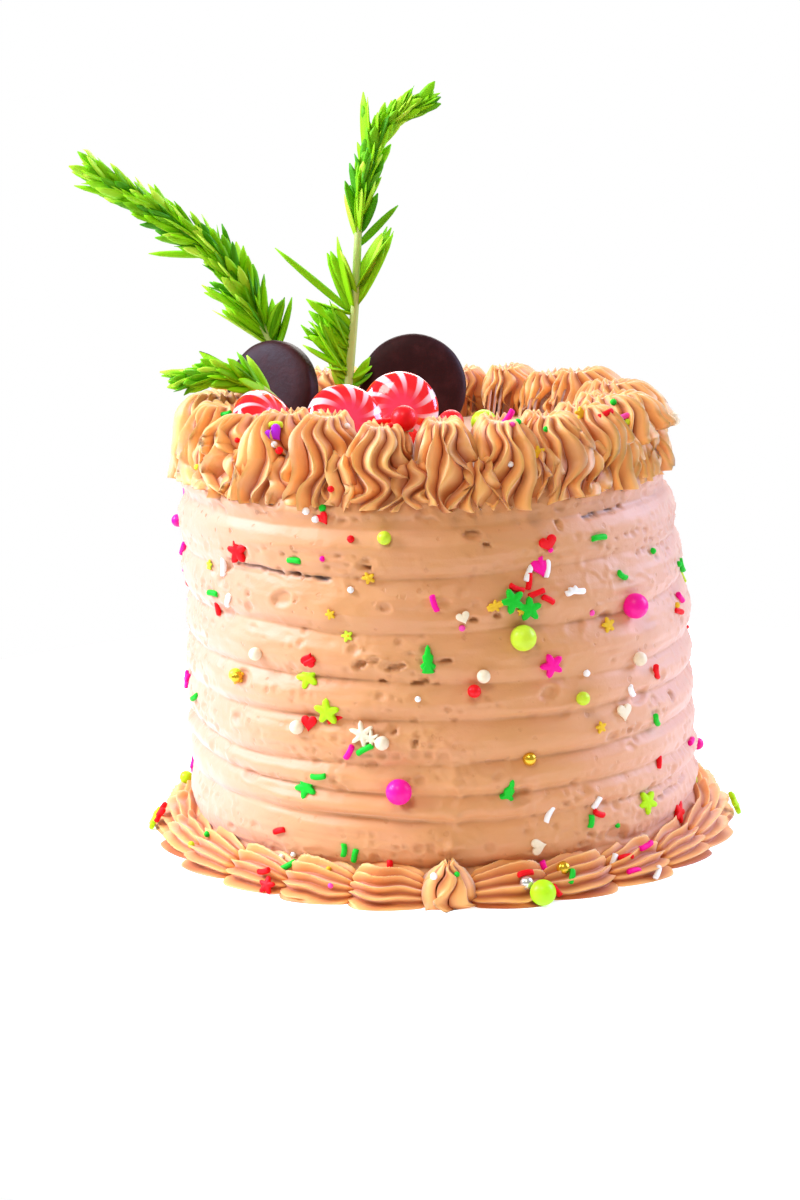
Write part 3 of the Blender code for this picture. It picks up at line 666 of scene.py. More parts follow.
swirls = {
    "front": [-72, -56, -41, -27, -11, 5, 20, 36, 50, 62.5, 75], "backCount": 13,
    "middle": 67.5, "reach": 14.5, "overhang": 0.8, "peakRadius": 63.0, "top": 146.0, "lowest": 112.0,
    "footOutside": 121.0, "footInside": 128.0, "innerHeight": 126.0, "fullness": 0.8,
    # The dome takes this share of the way down and this share of the height
    "dome": 0.46, "domeHeight": 0.43, "domeWide": 0.58, "domeRound": 0.9,
    "fins": 14, "flute": 0.25, "tip": 0.03, "rows": 70, "columnsPerFin": 12, "lean": 0.17, "curl": 2.0,
    "ruffle": 1.0, "overlap": 1.12, "seed": 11,
    # How far the fins bend and wobble, how uneven their size is, and the crown of fins round the dip on top
    "bend": 0.4, "wobble": 0.22, "uneven": 0.07, "crown": 1.3, "dip": 1.2, "hollowDrop": 2.4,
    # Where down the swirl the foot starts to flare and is at its full width
    "flareFrom": 0.72, "flareTo": 0.95,
    # The valleys' roundness, and a fold's softness, lip and the lengths in which its waist and shade heal
    "valleyPower": 0.3, "foldSoft": 0.02, "lipSize": 0.05, "waistHeals": 0.14, "shadeHeals": 0.06,
}
# Small curls squeezed out between two swirls near their feet
curls = {**swirls, "middle": 74.0, "reach": 7.2, "overhang": 0.0, "peakRadius": 72.0, "top": 135.5,
         "fins": 7, "rows": 44, "columnsPerFin": 10, "halfAngle": 4.8, "seed": 300, "flute": 0.34,
         "footOutside": 121.5}


def wedges(bearings):
    # The middle line between each swirl and the next one round, as (low, high) for each swirl.
    edges = []
    for i, b in enumerate(bearings):
        after = bearings[(i + 1) % len(bearings)]
        edges.append(b + (after - b) % 360 / 2)
    return list(zip([edges[-1] - 360] + edges[:-1], edges))


def swirlBearings():
    # The front ones as in the photograph, then equal steps round the back.
    last = swirls["front"][-1]
    step = (360 + swirls["front"][0] - last) / (swirls["backCount"] + 1)
    return swirls["front"] + [last + step * (k + 1) for k in range(swirls["backCount"])]


def swirlNature(k, s):
    # The first draws are those of the solid, two of which only it uses. The rest are for the finer shape.
    draw = random.Random(s["seed"] + k)
    nature = {"phase": draw.uniform(0, math.pi)}
    draw.random()
    draw.random()
    nature["rise"] = draw.uniform(-1.5, 1.5)
    nature["peakOut"] = draw.uniform(-2, 2)
    nature["fins"] = s["fins"] + draw.choice([-1, 0, 0, 1])
    nature["tier"] = draw.choice([0.0, 0.16, 0.24])
    nature["tierAt"] = draw.uniform(0.45, 0.62)
    nature["way"] = draw.choice([-1, 1])
    nature["lively"] = draw.uniform(0.55, 1.15)
    nature["turns"] = draw.uniform(0.8, 1.7)
    nature["row"] = k * 7.3
    return nature


def evenAngle(v):
    # The superellipse's own angle at an even share of its way round.
    angle = np.linspace(0, turn, 1441)
    x, y = signedPower(np.cos(angle), swirls["fullness"]), signedPower(np.sin(angle), swirls["fullness"])
    length = np.concatenate([[0], np.cumsum(np.hypot(np.diff(x), np.diff(y)))])
    return np.interp(v % turn, length / length[-1] * turn, angle)


def swirlForm(u, v, low, high, nature, s):
    # u runs from the peak to the foot and v goes round from the outside of the cake.
    # Fins are thin lips that lean to one side, with round hollows between them. They bend as they
    # come down, some more than others. A fold pulls the waist in and shifts the fins, and the
    # foot flares into ruffles. Also the painted shade on each point: deep in a hollow, beside a neighbour
    # and under a fold.
    row = nature["row"]
    ringX, ringY = np.sin(v), np.cos(v)

    def varied(scale, third, seed, shift=0):
        # Noise that varies this quickly round the swirl, and with the third value.
        return latticeNoise(ringX * scale + row + shift, ringY * scale, third, seed)

    drift = varied(1.2, 0.5, 21)
    lively = nature["lively"] * (0.8 + 1.1 * varied(1.6, u * 1.8, 22, 9))
    wave = np.sin(turn * u * nature["turns"] + nature["phase"] + 3.4 * drift)
    sway = s["bend"] * lively * wave * smoothStep(u, 0.05, 0.4)
    wobble = latticeNoise(u * 5.5, ringX * 1.7 + row, ringY * 1.7, 7)
    sway = sway + s["wobble"] * wobble * smoothStep(u, 0.12, 0.4)
    patch = np.clip(0.5 + 1.6 * varied(1.1, 0.5, 14, 20), 0, 1)
    at = nature["tierAt"] + 0.07 * drift
    fold = smoothStep(u, at - s["foldSoft"], at + s["foldSoft"]) * patch
    shift = fold * nature["way"] * (nature["tier"] > 0) * 0.9 * math.pi / nature["fins"]
    valley = np.cos(nature["fins"] * (v + nature["phase"]) / 2) ** 2
    valley = (valley + s["tip"] ** 2) ** s["valleyPower"]
    fin = 1 - valley
    side = np.clip(2.0 * varied(0.9, u * 2.4, 15, 40), -1, 1)
    turned = evenAngle(v - sway + shift + s["lean"] * fin ** 1.5 * side * smoothStep(u, 0.08, 0.3))
    # A full dome, then straight down to the foot, then in below.
    dome = np.minimum(u / s["dome"], 1.0) * math.pi / 2
    out = np.sin(dome) ** s["domeWide"] * (1 - 0.3 * smoothStep(u, 0.94, 1.0))
    down = s["domeHeight"] * (1 - np.cos(dome) ** s["domeRound"])
    down = down + (1 - s["domeHeight"]) * np.clip((u - s["dome"]) / (s["flareTo"] - s["dome"]), 0, 1)
    lip = 0.6 * nature["tier"] * patch * np.exp(-((u - at + s["lipSize"]) / s["lipSize"]) ** 2)
    waist = 1 + lip - nature["tier"] * fold * np.exp(-np.maximum(u - at, 0) / s["waistHeals"])
    flare = smoothStep(u, s["flareFrom"], s["flareTo"])
    depth = s["flute"] * np.minimum(1.0, 0.35 + 1.6 * u) * (1 - 0.15 * flare)
    depth = depth * (1 + 0.4 * varied(1.5, u * 3, 9))
    flute = 1 - depth * valley
    sideways = signedPower(np.sin(turned), s["fullness"])
    outwards = signedPower(np.cos(turned), s["fullness"])
    size = out * flute * waist * (1 + s["uneven"] * varied(1.2, u * 4, 10))
    across = sideways * size * (1 + (s["overlap"] - 1) * smoothStep(u, 0.2, 0.6)) * (1 + 0.1 * flare)
    peak = s["peakRadius"] + nature["peakOut"]
    edge = s["middle"] + s["reach"] * outwards
    edge = edge + s["overhang"] * np.maximum(outwards, 0) * smoothStep(u, 0.3, 0.7)
    radius = peak + (edge - peak) * size + s["ruffle"] * fin * flare * outwards
    foot = s["footInside"] + (s["footOutside"] - s["footInside"]) * smoothStep(outwards, -0.75, 0.1)
    top = s["top"] + nature["rise"]
    crown = s["crown"] * fin * np.exp(-((u - 0.1) / 0.07) ** 2)
    crown = crown * (1 + latticeNoise(v * 2 / turn * 3 + row, 0.5, 0.5, 12))
    dip = s["dip"] * np.exp(-(u / 0.06) ** 2)
    curl = s["curl"] * flare * varied(3.2, 0.5, 13)
    z = top - 1.0 - (top - foot) * down - s["hollowDrop"] * (1 - flute) * out + crown - dip + curl
    middle = math.radians((low + high) / 2)
    half = math.radians((high - low) / 2)
    # Painted shade: darker where a swirl meets its neighbour, under a fold and deep in the hollows.
    creaseShade = smoothStep(np.abs(across), 0.8, 1.1) * (outwards > -0.3)
    shade = 1.5 * nature["tier"] * fold * np.exp(-np.maximum(u - at, 0) / s["shadeHeals"])
    paintedShade = valley ** 4 + 0.6 * creaseShade + shade
    return around(radius, middle + half * across, np.maximum(z, s["lowest"])), np.clip(paintedShade, 0, 1)


def makeSwirl(name, node, k, low, high, s):
    # The form as rows from the peak to the foot, closed at the peak and inside the cake.
    nature = swirlNature(k, s)
    columns = nature["fins"] * s["columnsPerFin"]
    # Points crowd towards the fin tips, where the surface bends most.
    even = np.arange(columns) / columns * turn
    crowded = even + 0.55 / nature["fins"] * np.sin(nature["fins"] * even)
    v = crowded - nature["phase"] + math.pi / nature["fins"]
    u = np.linspace(0.02, 1.0, s["rows"])
    gridV, gridU = np.meshgrid(v, u)
    # The points, and the painted shade on them.
    grid, hollow = swirlForm(gridU, gridV, low, high, nature, s)
    pole = swirlForm(np.array(0.0), np.array(0.0), low, high, nature, s)[0]
    middle = math.radians((low + high) / 2)
    inner = around(np.array(s["middle"] - 2), np.array(middle), np.array(s["innerHeight"]))
    piece = closedForm(name, grid, pole, inner, {"hollow": hollow}, pipedFinish)
    return standsFor(piece, "frosting", node)


pipedFinish = frostingFinish("piped frosting", "ridge", "hollow")
pipedSwirls = []
for k, (low, high) in enumerate(wedges(swirlBearings())):
    number = "%02d" % (k + 1)
    pipedSwirls.append(makeSwirl("swirl_piped_" + number, "swirl_" + number, k, low, high, swirls))
    pipedSwirls.append(makeSwirl("curl_piped_" + number, "swirl_" + number, k,
                                 high - curls["halfAngle"], high + curls["halfAngle"], curls))
print("swirls and curls:", len(pipedSwirls))


# The shells round the foot

shells = {
    # How many shells each way, how far they stand out, the tail's share of the height, and the ridges' arc
    "aSide": 12, "reach": 14.0, "height": 12.5, "tail": 0.66, "arc": 104.0,
    "dollopBearing": -0.5, "dollopWidth": 9.5,
    "ridges": 5.2, "flute": 0.29, "tip": 0.03, "rows": 56, "columns": 84, "gap": -2.0, "seed": 5,
    # The shares of its length in which it grows, and in which its tail and its head are rounded off
    "grows": 0.7, "tailRound": 0.14, "headRound": 0.28,
    # How much the ridges fan out, wave and sweep, their valleys' roundness, and how far in the back lies
    "fan": 0.12, "wave": 1.1, "sweep": 0.9, "valleyPower": 0.36, "inset": 6.0, "poleInset": 3,
}
# The drop at the front where both rows of shells start
dollop = {**swirls, "middle": 88.5, "reach": 9.0, "overhang": 0.0, "peakRadius": 91.0, "top": 13.2,
          "footOutside": 0.5, "footInside": 2.0, "innerHeight": 1.0, "lowest": 0.05, "dome": 0.75,
          "domeHeight": 0.8, "domeWide": 1.0, "fins": 8, "flute": 0.32, "rows": 48, "columnsPerFin": 10,
          "overlap": 1.25, "seed": 700, "curl": 0.0, "fullness": 0.95}


def shellSize(s):
    # Narrow at the tail, full towards the head, rounded off at both ends.
    grown = np.sin(math.pi / 2 * np.minimum(s / shells["grows"], 1.0))
    grown = shells["tail"] + (1 - shells["tail"]) * grown
    tailRound, headRound = shells["tailRound"], shells["headRound"]
    tailEnd = np.sqrt(1 - np.maximum(0.0, (tailRound - s) / tailRound) ** 2)
    headEnd = np.sqrt(1 - np.maximum(0.0, (s - (1 - headRound)) / headRound) ** 2)
    return grown * tailEnd * headEnd


def shellForm(s, share, reach, height, nature):
    # s runs from tail to head. share goes from the floor outside up over the ridges to the body.
    # The ridges run along the shell, wavy, and fan out a little towards the head.
    arc = math.radians(shells["arc"])
    angle = share * arc
    fan = 1 - shells["fan"] + shells["fan"] * smoothStep(s, 0.0, 0.65)
    wavy = shells["wave"] * latticeNoise(s * 3.4, share * 1.6, nature["row"], 33)
    wavy = wavy - shells["sweep"] * smoothStep(s, 0.7, 1.0)
    cosine = np.cos(math.pi * shells["ridges"] * (share / fan) + nature["phase"] + wavy)
    valley = (cosine ** 2 + shells["tip"] ** 2) ** shells["valleyPower"]
    depth = shells["flute"] * (0.7 + 0.5 * smoothStep(s, 0.2, 0.9)) * smoothStep(share, 0.0, 0.06)
    flute = 1 - depth * valley
    size = shellSize(s)
    out = reach * size * flute * np.cos(angle)
    z = height * size * flute * np.sin(angle)
    return out, z, valley


def makeShell(name, node, tail, head, reach, height, k):
    # The form as rows from tail to head, closer together at both ends.
    draw = random.Random(shells["seed"] * 100 + k)
    nature = {"phase": draw.uniform(0, math.pi), "row": k * 5.1}
    height, reach = height * draw.uniform(0.93, 1.0), reach * draw.uniform(0.94, 1.0)
    margin = shells["gap"] / body["radius"]
    tail, head = math.radians(tail), math.radians(head)
    way = 1 if head > tail else -1
    tail, head = tail + way * margin, head - way * margin
    ends = (1 - np.cos(np.linspace(0, math.pi, shells["rows"] + 2)[1:-1])) / 2
    share = np.linspace(0.0, 1.0, shells["columns"])
    gridShare, gridS = np.meshgrid(share, ends)
    out, z, valley = shellForm(gridS, gridShare, reach, height, nature)
    # Behind the ridges the section goes in to the body and down to the floor.
    inner = np.full((len(ends), 1), -shells["inset"])
    behindOut = np.concatenate([inner, inner, inner * 0 + 4], axis=1)
    size = shellSize(ends)[:, None]
    behindZ = np.concatenate([height * size * 0.9, 0 * size, 0 * size], axis=1)
    out = np.concatenate([out, behindOut], axis=1)
    z = np.concatenate([z, behindZ], axis=1)
    # Painted shade deep in the valleys between the ridges, and on the hidden back.
    hollow = np.concatenate([valley, np.ones((len(ends), 3))], axis=1) ** 2.5
    bearing = tail + np.broadcast_to(ends[:, None], out.shape) * (head - tail)
    grid = around(body["radius"] + out, bearing, z)
    first, last = [around(np.array(body["radius"] - shells["poleInset"]), np.array(end), np.array(0.0))
                   for end in (tail, head)]
    values = {"hollow": np.clip(hollow, 0, 1)}
    piece = closedForm(name, grid, first, last, values, pipedFinish, flip=way < 0)
    return standsFor(piece, "frosting", node)


def makeShells():
    # Equal shares of the foot on each side of the dollop, and the left ones mirror the right.
    s = shells
    width = (360 - s["dollopWidth"]) / (2 * s["aSide"])
    first = s["dollopBearing"] + s["dollopWidth"] / 2
    made = []
    for k in range(s["aSide"]):
        tail = first + k * width
        number = "%02d" % (k + 1)
        made.append(makeShell("shell_piped_right_" + number, "shell_right_" + number,
                              tail, tail + width, s["reach"], s["height"], k))
        tail = 2 * s["dollopBearing"] - tail
        made.append(makeShell("shell_piped_left_" + number, "shell_left_" + number,
                              tail, tail - width, s["reach"], s["height"], 40 + k))
    made.append(makeSwirl("shell_piped_dollop", "shell_dollop", 0, first - s["dollopWidth"], first, dollop))
    return made


pipedShells = makeShells()
print("shells:", len(pipedShells))


# Discs and mints

toppings = {
    "discs": {
        "chocolate_disc_right": {"centre": (-7.5, 12, 144.5), "radius": 18.0, "turn": 6, "lean": 10},
        "chocolate_disc_left": {"centre": (-54, 9, 144.3), "radius": 17.5, "turn": -34, "lean": 12},
    },
    "mints": {
        "mint_right": {"centre": (-12, -12, 140.5), "turn": 4, "lean": 14},
        "mint_middle": {"centre": (-29.5, -33, 140), "turn": 18, "lean": 28},
        "mint_left": {"centre": (-54.5, -28, 138.5), "turn": 56, "lean": 30},
    },
    "discThickness": 9.0, "discRoundness": 4.0,
    "mintRadius": 12.5, "mintThickness": 11.0, "mintRoundness": 2.6,
    "rows": 44, "columns": 96,
    "chocolate": (50, 16, 16), "chocolateLight": (80, 36, 36),
    "mintRed": (246, 14, 26), "mintWhite": (255, 226, 226), "mintPink": (250, 58, 92), "stripes": 11,
}


def discPoints(radius, thickness, roundness, rows, columns):
    # A superellipse turned about its axis, which lies along Z: points, share from the axis, and angle.
    angles = np.linspace(0, math.pi, rows + 2)[1:-1]
    gridTurn, gridAngle = np.meshgrid(np.arange(columns) * turn / columns, angles)
    wide = np.sin(gridAngle) ** (2 / roundness)
    flat = signedPower(np.cos(gridAngle), 2 / roundness)
    points = np.stack([radius * wide * np.cos(gridTurn), radius * wide * np.sin(gridTurn),
                       thickness / 2 * flat], -1)
    return points, wide, gridTurn


def standUp(points, spec):
    # The face looks to the front, turned to the left or right and leaning back.
    lift = math.radians(90 - spec["lean"])
    side = math.radians(spec["turn"])
    c, s = math.cos(lift), math.sin(lift)
    upright = np.array([[1, 0, 0], [0, c, -s], [0, s, c]])
    c, s = math.cos(side), math.sin(side)
    turned = np.array([[c, -s, 0], [s, c, 0], [0, 0, 1]])
    return points @ (turned @ upright).T + np.array(spec["centre"])


def standingForm(name, points, half, spec, values, finish):
    # The closed form with its poles this far from its middle, stood up in its place.
    ends = standUp(np.array([[0, 0, half], [0, 0, -half]]), spec)
    return closedForm(name, standUp(points, spec), ends[0], ends[1], values, finish)


def chocolateFinish():
    finish = Finish("dark chocolate", {"Roughness": 0.5, "Specular IOR Level": 0.14})
    cloud = finish.noise(5.0, 4.0)
    finish.feed("Base Color", finish.blend(rgba(toppings["chocolate"]), rgba(toppings["chocolateLight"]),
                                           finish.ramp(cloud, 0.4, 0.8) * 0.5))
    finish.feed("Roughness", 0.42 + 0.2 * cloud)
    finish.bump(finish.noise(1.6, 4.0, 0.6), 0.5, 0.25)
    return finish.material


def mintFinish():
    # The stripe's strength comes from the piece's own attribute.
    finish = Finish("striped mint", {"Roughness": 0.12, "Coat Weight": 0.6, "Coat Roughness": 0.05,
                                     "Subsurface Weight": 0.25, "Subsurface Radius": (1.0, 0.5, 0.5),
                                     "Subsurface Scale": 2.5 * mm})
    stripe = finish.attribute("stripe")
    glow = finish.attribute("glow")
    colour = finish.blend(rgba(toppings["mintWhite"]), rgba(toppings["mintPink"]), glow)
    finish.feed("Base Color", finish.blend(colour, rgba(toppings["mintRed"]), stripe))
    finish.bump(finish.noise(3.0, 2.0), 0.25, 0.12)
    return finish.material


def makeDiscs():
    # A flat drum with round edges and shallow dents.
    finish = chocolateFinish()
    made = []
    for node, spec in toppings["discs"].items():
        points = discPoints(spec["radius"], toppings["discThickness"], toppings["discRoundness"],
                            toppings["rows"], toppings["columns"])[0]
        dent = 0.3 * layered(points[..., 0] / 6, points[..., 1] / 6, points[..., 2] / 6, 7, 3)
        points = points * (1 - 0.012 * (1 + dent))[..., None]
        half = toppings["discThickness"] / 2 * 0.985
        piece = standingForm(node + "_dark", points, half, spec, None, finish)
        made.append(standsFor(piece, "chocolate", node))
    return made


def makeMints():
    # Stripes that twist as they come in from the rim and fade before the middle.
    finish = mintFinish()
    made = []
    for k, (node, spec) in enumerate(toppings["mints"].items()):
        points, wide, angle = discPoints(toppings["mintRadius"], toppings["mintThickness"],
                                         toppings["mintRoundness"], toppings["rows"],
                                         toppings["columns"] * 2)
        swirl = angle + 0.55 * (1 - wide) + 0.7 * k
        # Whole numbers of waves meet without a seam, and the second makes the stripes uneven in width.
        wave = np.sin(toppings["stripes"] * swirl) + 0.35 * np.sin(5 * swirl + 1.3)
        stripe = smoothStep(wave, -0.6, -0.3) * smoothStep(wide, 0.2, 0.6)
        glow = 1 - smoothStep(wide, 0.35, 0.93)
        values = {"stripe": stripe, "glow": glow}
        piece = standingForm(node + "_striped", points, toppings["mintThickness"] / 2, spec, values, finish)
        made.append(standsFor(piece, "mint", node))
    return made


placedToppings = makeDiscs() + makeMints()
print("discs and mints made")


# Rosemary

rosemary = {
    "needleWidth": 4.0, "singleWidth": 2.6, "needleThickness": 0.9, "shortest": 5.0, "clearance": 1.2,
    "leafRows": 7, "leafSides": 6, "stemSides": 10, "stemRows": 60,
    "leaf": (146, 212, 6), "leafDark": (70, 146, 4), "leafPale": (204, 240, 70), "stem": (190, 206, 116),
    # How far a leaf's flat side turns to a chance direction and to the front, beside the stem's own
    "chanceTurn": 1.2, "frontTurn": 0.9,
    # A leaf's width at its foot and at its point, and how far its edges bend down, as shares of its width
    "foot": 0.45, "point": 0.12, "bow": 0.18,
    # How far up the stem a bunch spreads, how widely its fan scatters, and where the last leaf is
    "bunchLength": 0.05, "scatter": 0.7, "lastLeaf": 0.995,
    # How far the leaves may pass the solid's box on its low sides
    "pastBox": 2.0,
    "sprigs": {
        "rosemary_left": {
            "route": [(-45, 25, 127), (-57, 27, 163), (-69, 22, 186), (-88, 18, 202), (-107, 16, 215)],
            "stem": (1.5, 0.8), "needles": 210, "first": 0.24, "length": (18, 14), "spread": (27, 16),
            # Bunches of leaves: where on the stem, the place (x, z) they point to, how many, fan in degrees
            "bunches": [(0.2, -51, 175, 5, 8), (0.22, -73, 172, 9, 14), (0.3, -76, 181, 6, 12),
                        (0.55, -94, 190, 1, 0), (0.88, -117, 213, 1, 0)],
        },
        "rosemary_right": {
            "route": [(-31, 6, 127), (-26, 5, 172), (-23, 5, 205), (-16, 5, 227), (-4, 5, 236)],
            "stem": (1.6, 0.8), "needles": 150, "first": 0.42, "length": (18, 10), "spread": (20, 17),
            "bunches": [(0.13, -42, 169, 14, 17), (0.17, -38, 174, 10, 12), (0.1, -36, 154, 4, 10),
                        (0.25, -51.5, 192, 1, 0), (0.24, -33, 195, 4, 7), (0.26, -14, 198, 12, 10),
                        (0.22, -42, 175, 2, 5), (0.4, -11, 205, 1, 0), (0.09, -19, 154, 3, 12),
                        (0.64, -22, 241, 3, 4), (0.8, -4, 242, 2, 5)],
        },
        "rosemary_low": {
            "route": [(-40, -7, 129), (-54, -9, 146), (-64, -11, 152), (-72, -12, 153), (-79, -13, 152)],
            "stem": (1.5, 0.8), "needles": 62, "first": 0.25, "length": (15, 9), "spread": (34, 14),
            "bunches": [(0.5, -79, 158, 4, 10), (0.6, -89, 152, 3, 8)],
        },
    },
}


def smoothRoute(route, steps):
    # Catmull-Rom through the route's own points, at even steps.
    nodes = np.array(route, float)
    nodes = np.concatenate([[2 * nodes[0] - nodes[1]], nodes, [2 * nodes[-1] - nodes[-2]]])
    spans = len(route) - 1
    along = np.minimum(np.linspace(0, spans, steps), spans - 1e-6)
    k = along.astype(int)
    t = (along - k)[:, None]
    a, b, c, d = nodes[k], nodes[k + 1], nodes[k + 2], nodes[k + 3]
    square, cube = 2 * a - 5 * b + 4 * c - d, 3 * b - a - 3 * c + d
    return 0.5 * (2 * b + (c - a) * t + square * t ** 2 + cube * t ** 3)


def frameAlong(places):
    # Direction and two sideways axes at each place of a path.
    ahead = unitRows(np.gradient(places, axis=0))
    side = unitRows(np.cross(ahead, [0, 1, 0]))
    return ahead, side, np.cross(side, ahead)


def tubePoints(places, radii, sides):
    # A round tube along a path: one ring of points at each place.
    side, up = frameAlong(places)[1:]
    angle = np.arange(sides) * turn / sides
    ring = side[:, None] * np.cos(angle)[None, :, None] + up[:, None] * np.sin(angle)[None, :, None]
    return places[:, None] + ring * radii[:, None, None]


def leafPoints(start, ahead, flat, length, width, curl):
    # Leaves as (leaf, row, side, xyz): an oval section that swells quickly, runs even and ends in a point.
    rows, sides = rosemary["leafRows"], rosemary["leafSides"]
    share = np.linspace(0, 1, rows)
    profile = np.clip(np.sin(math.pi * share ** 0.75), 0, 1) ** 0.45
    profile[0], profile[-1] = rosemary["foot"], rosemary["point"]
    side = unitRows(np.cross(ahead, flat))
    up = np.cross(side, ahead)
    middle = start[:, None] + ahead[:, None] * (length[:, None, None] * share[None, :, None])
    middle = middle + up[:, None] * (curl[:, None] * length[:, None] * share[None, :] ** 2)[..., None]
    angle = np.arange(sides) * turn / sides
    wide = 0.5 * width[:, None, None] * profile[None, :, None] * np.cos(angle)[None, None, :]
    thick = 0.5 * rosemary["needleThickness"] * profile[None, :, None] * np.sin(angle)[None, None, :]
    thick = thick - rosemary["bow"] * np.abs(wide)
    return middle[:, :, None] + side[:, None, None] * wide[..., None] + up[:, None, None] * thick[..., None]


def clearLength(start, ahead, length, neighbours):
    # How far a leaf can run before it comes near a neighbour.
    steps = 8
    for i in range(2, steps + 1):
        place = start + ahead * length * i / steps
        for other, box in neighbours:
            if closeTo(place, box, rosemary["clearance"]):
                near = other.closest_point_on_mesh((place * mm).tolist())[1]
                if np.linalg.norm(np.array(near) / mm - place) < rosemary["clearance"]:
                    return length * (i - 1.5) / steps
    return length


def joined(parts):
    # Many closed forms in one mesh: points, faces and values, each part a grid with two poles.
    points, quads, triangles, values = [], [], [], {}
    offset = 0
    for grid, first, last, spread in parts:
        rows, columns = grid.shape[:2]
        points.append(np.concatenate([[first], grid.reshape(-1, 3), [last]]))
        partQuads, partTriangles = ringFaces(rows, columns, offset)
        quads.append(partQuads)
        triangles.append(partTriangles)
        for key, value in spread.items():
            closed = np.concatenate([value[:1, 0], value.reshape(-1), value[-1:, 0]])
            values.setdefault(key, []).append(closed)
        offset += rows * columns + 2
    return (np.concatenate(points), np.concatenate(quads), np.concatenate(triangles),
            {key: np.concatenate(value) for key, value in values.items()})


def rosemaryFinish():
    finish = Finish("rosemary", {"Roughness": 0.55, "Specular IOR Level": 0.16, "Subsurface Weight": 0.15,
                                 "Subsurface Radius": (0.5, 1.0, 0.2), "Subsurface Scale": 1.0 * mm})
    shade = finish.attribute("shade")
    woody = finish.attribute("woody")
    look = rosemary
    colour = finish.blend(rgba(look["leafDark"]), rgba(look["leaf"]), finish.ramp(shade, 0.0, 0.5))
    colour = finish.blend(colour, rgba(look["leafPale"]), finish.ramp(shade, 0.6, 1.0))
    colour = finish.blend(colour, rgba(look["stem"]), woody)
    finish.feed("Base Color", colour)
    finish.bump(finish.noise(0.8, 2.0), 0.4, 0.08)
    return finish.material


def makeSprig(node, spec, finish, neighbours):
    # Bunches of leaves that point to their own places, then single leaves round and up the stem.
    draw = np.random.default_rng(sum(ord(letter) for letter in node))
    places = smoothRoute(spec["route"], rosemary["stemRows"])
    ahead, side, up = frameAlong(places)
    thick, thin = spec["stem"]
    radii = np.linspace(thick, thin, len(places))
    last = len(places) - 1
    starts, ways, flats, lengths, widths, curls, shades = [], [], [], [], [], [], []

    def add(share, way, flat, length, width, curl, shade):
        at = int(share * last)
        room = clearLength(places[at], way, length, neighbours)
        if room > rosemary["shortest"]:
            starts.append(places[at])
            ways.append(way)
            flats.append(flat)
            lengths.append(room)
            widths.append(width)
            curls.append(curl)
            shades.append(shade)

    def flatSide(at):
        # The direction that a leaf's edge is square to: the stem's own, a chance one and the front.
        chance = rosemary["chanceTurn"] * draw.normal(size=3)
        return ahead[at] + chance + rosemary["frontTurn"] * np.array([0, -1.0, 0])

    for share, x, z, count, fan in spec["bunches"]:
        for k in range(count):
            at = min(int((share + rosemary["bunchLength"] * k / count) * last), last)
            way = np.array([x, places[at][1], z]) - places[at]
            length = np.linalg.norm(way)
            scatter = math.tan(math.radians(fan)) * draw.normal(size=3) * rosemary["scatter"]
            way = unit(way / length + scatter)
            length = length * (draw.uniform(0.7, 1.0) if k else 1.0)
            # A leaf on its own shows its flat side to the front.
            flat = flatSide(at) if count > 1 else np.array([0.2, -1.0, 0.1])
            width = rosemary["needleWidth"] if count > 1 else rosemary["singleWidth"]
            add(at / last, way, flat, length, width, 0.05, draw.uniform(0.1, 0.9))
    for k in range(spec["needles"]):
        share = spec["first"] + (rosemary["lastLeaf"] - spec["first"]) * k / (spec["needles"] - 1)
        at = int(share * last)
        angle = k * math.radians(goldenAngle)
        sideways = side[at] * math.cos(angle) + up[at] * math.sin(angle)
        wide, narrow = spec["spread"]
        spread = math.radians(wide + (narrow - wide) * share + draw.uniform(-9, 9))
        way = ahead[at] * math.cos(spread) + sideways * math.sin(spread)
        longest, shortest = spec["length"]
        length = (longest + (shortest - longest) * share) * draw.uniform(0.8, 1.1)
        width = rosemary["needleWidth"] * draw.uniform(0.75, 1.05)
        add(share, way, flatSide(at), length, width, draw.uniform(-0.02, 0.1), draw.uniform(0, 1))

    leaves = leafPoints(np.array(starts), np.array(ways), np.array(flats), np.array(lengths),
                        np.array(widths), np.array(curls))
    stem = tubePoints(places, radii, rosemary["stemSides"])
    none = np.zeros(stem.shape[:2])
    parts = [(stem, places[0], places[-1] + ahead[-1] * thin, {"shade": none, "woody": none + 1})]
    for leaf, shade in zip(leaves, shades):
        tint = np.full(leaf.shape[:2], shade) * np.linspace(0.7, 1.0, leaf.shape[0])[:, None]
        parts.append((leaf, leaf[0].mean(0), leaf[-1].mean(0), {"shade": tint, "woody": tint * 0}))
    points, quads, triangles, values = joined(parts)
    low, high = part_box(node)
    low, high = np.array(low) / mm, np.array(high) / mm
    points = np.clip(points, low - rosemary["pastBox"], high)
    piece = meshFrom(node + "_sprig", points, quads, triangles, values, None, finish)
    return standsFor(piece, "rosemary", node)


def makeRosemary():
    finish = rosemaryFinish()
    bpy.context.view_layer.update()
    neighbours = [(piece, boxOf(piece)) for piece in [frostedSide] + placedToppings + pipedSwirls]
    for node, spec in rosemary["sprigs"].items():
        piece = makeSprig(node, spec, finish, neighbours)
        print(node, len(piece.data.vertices), "points")


makeRosemary()


# Sprinkles

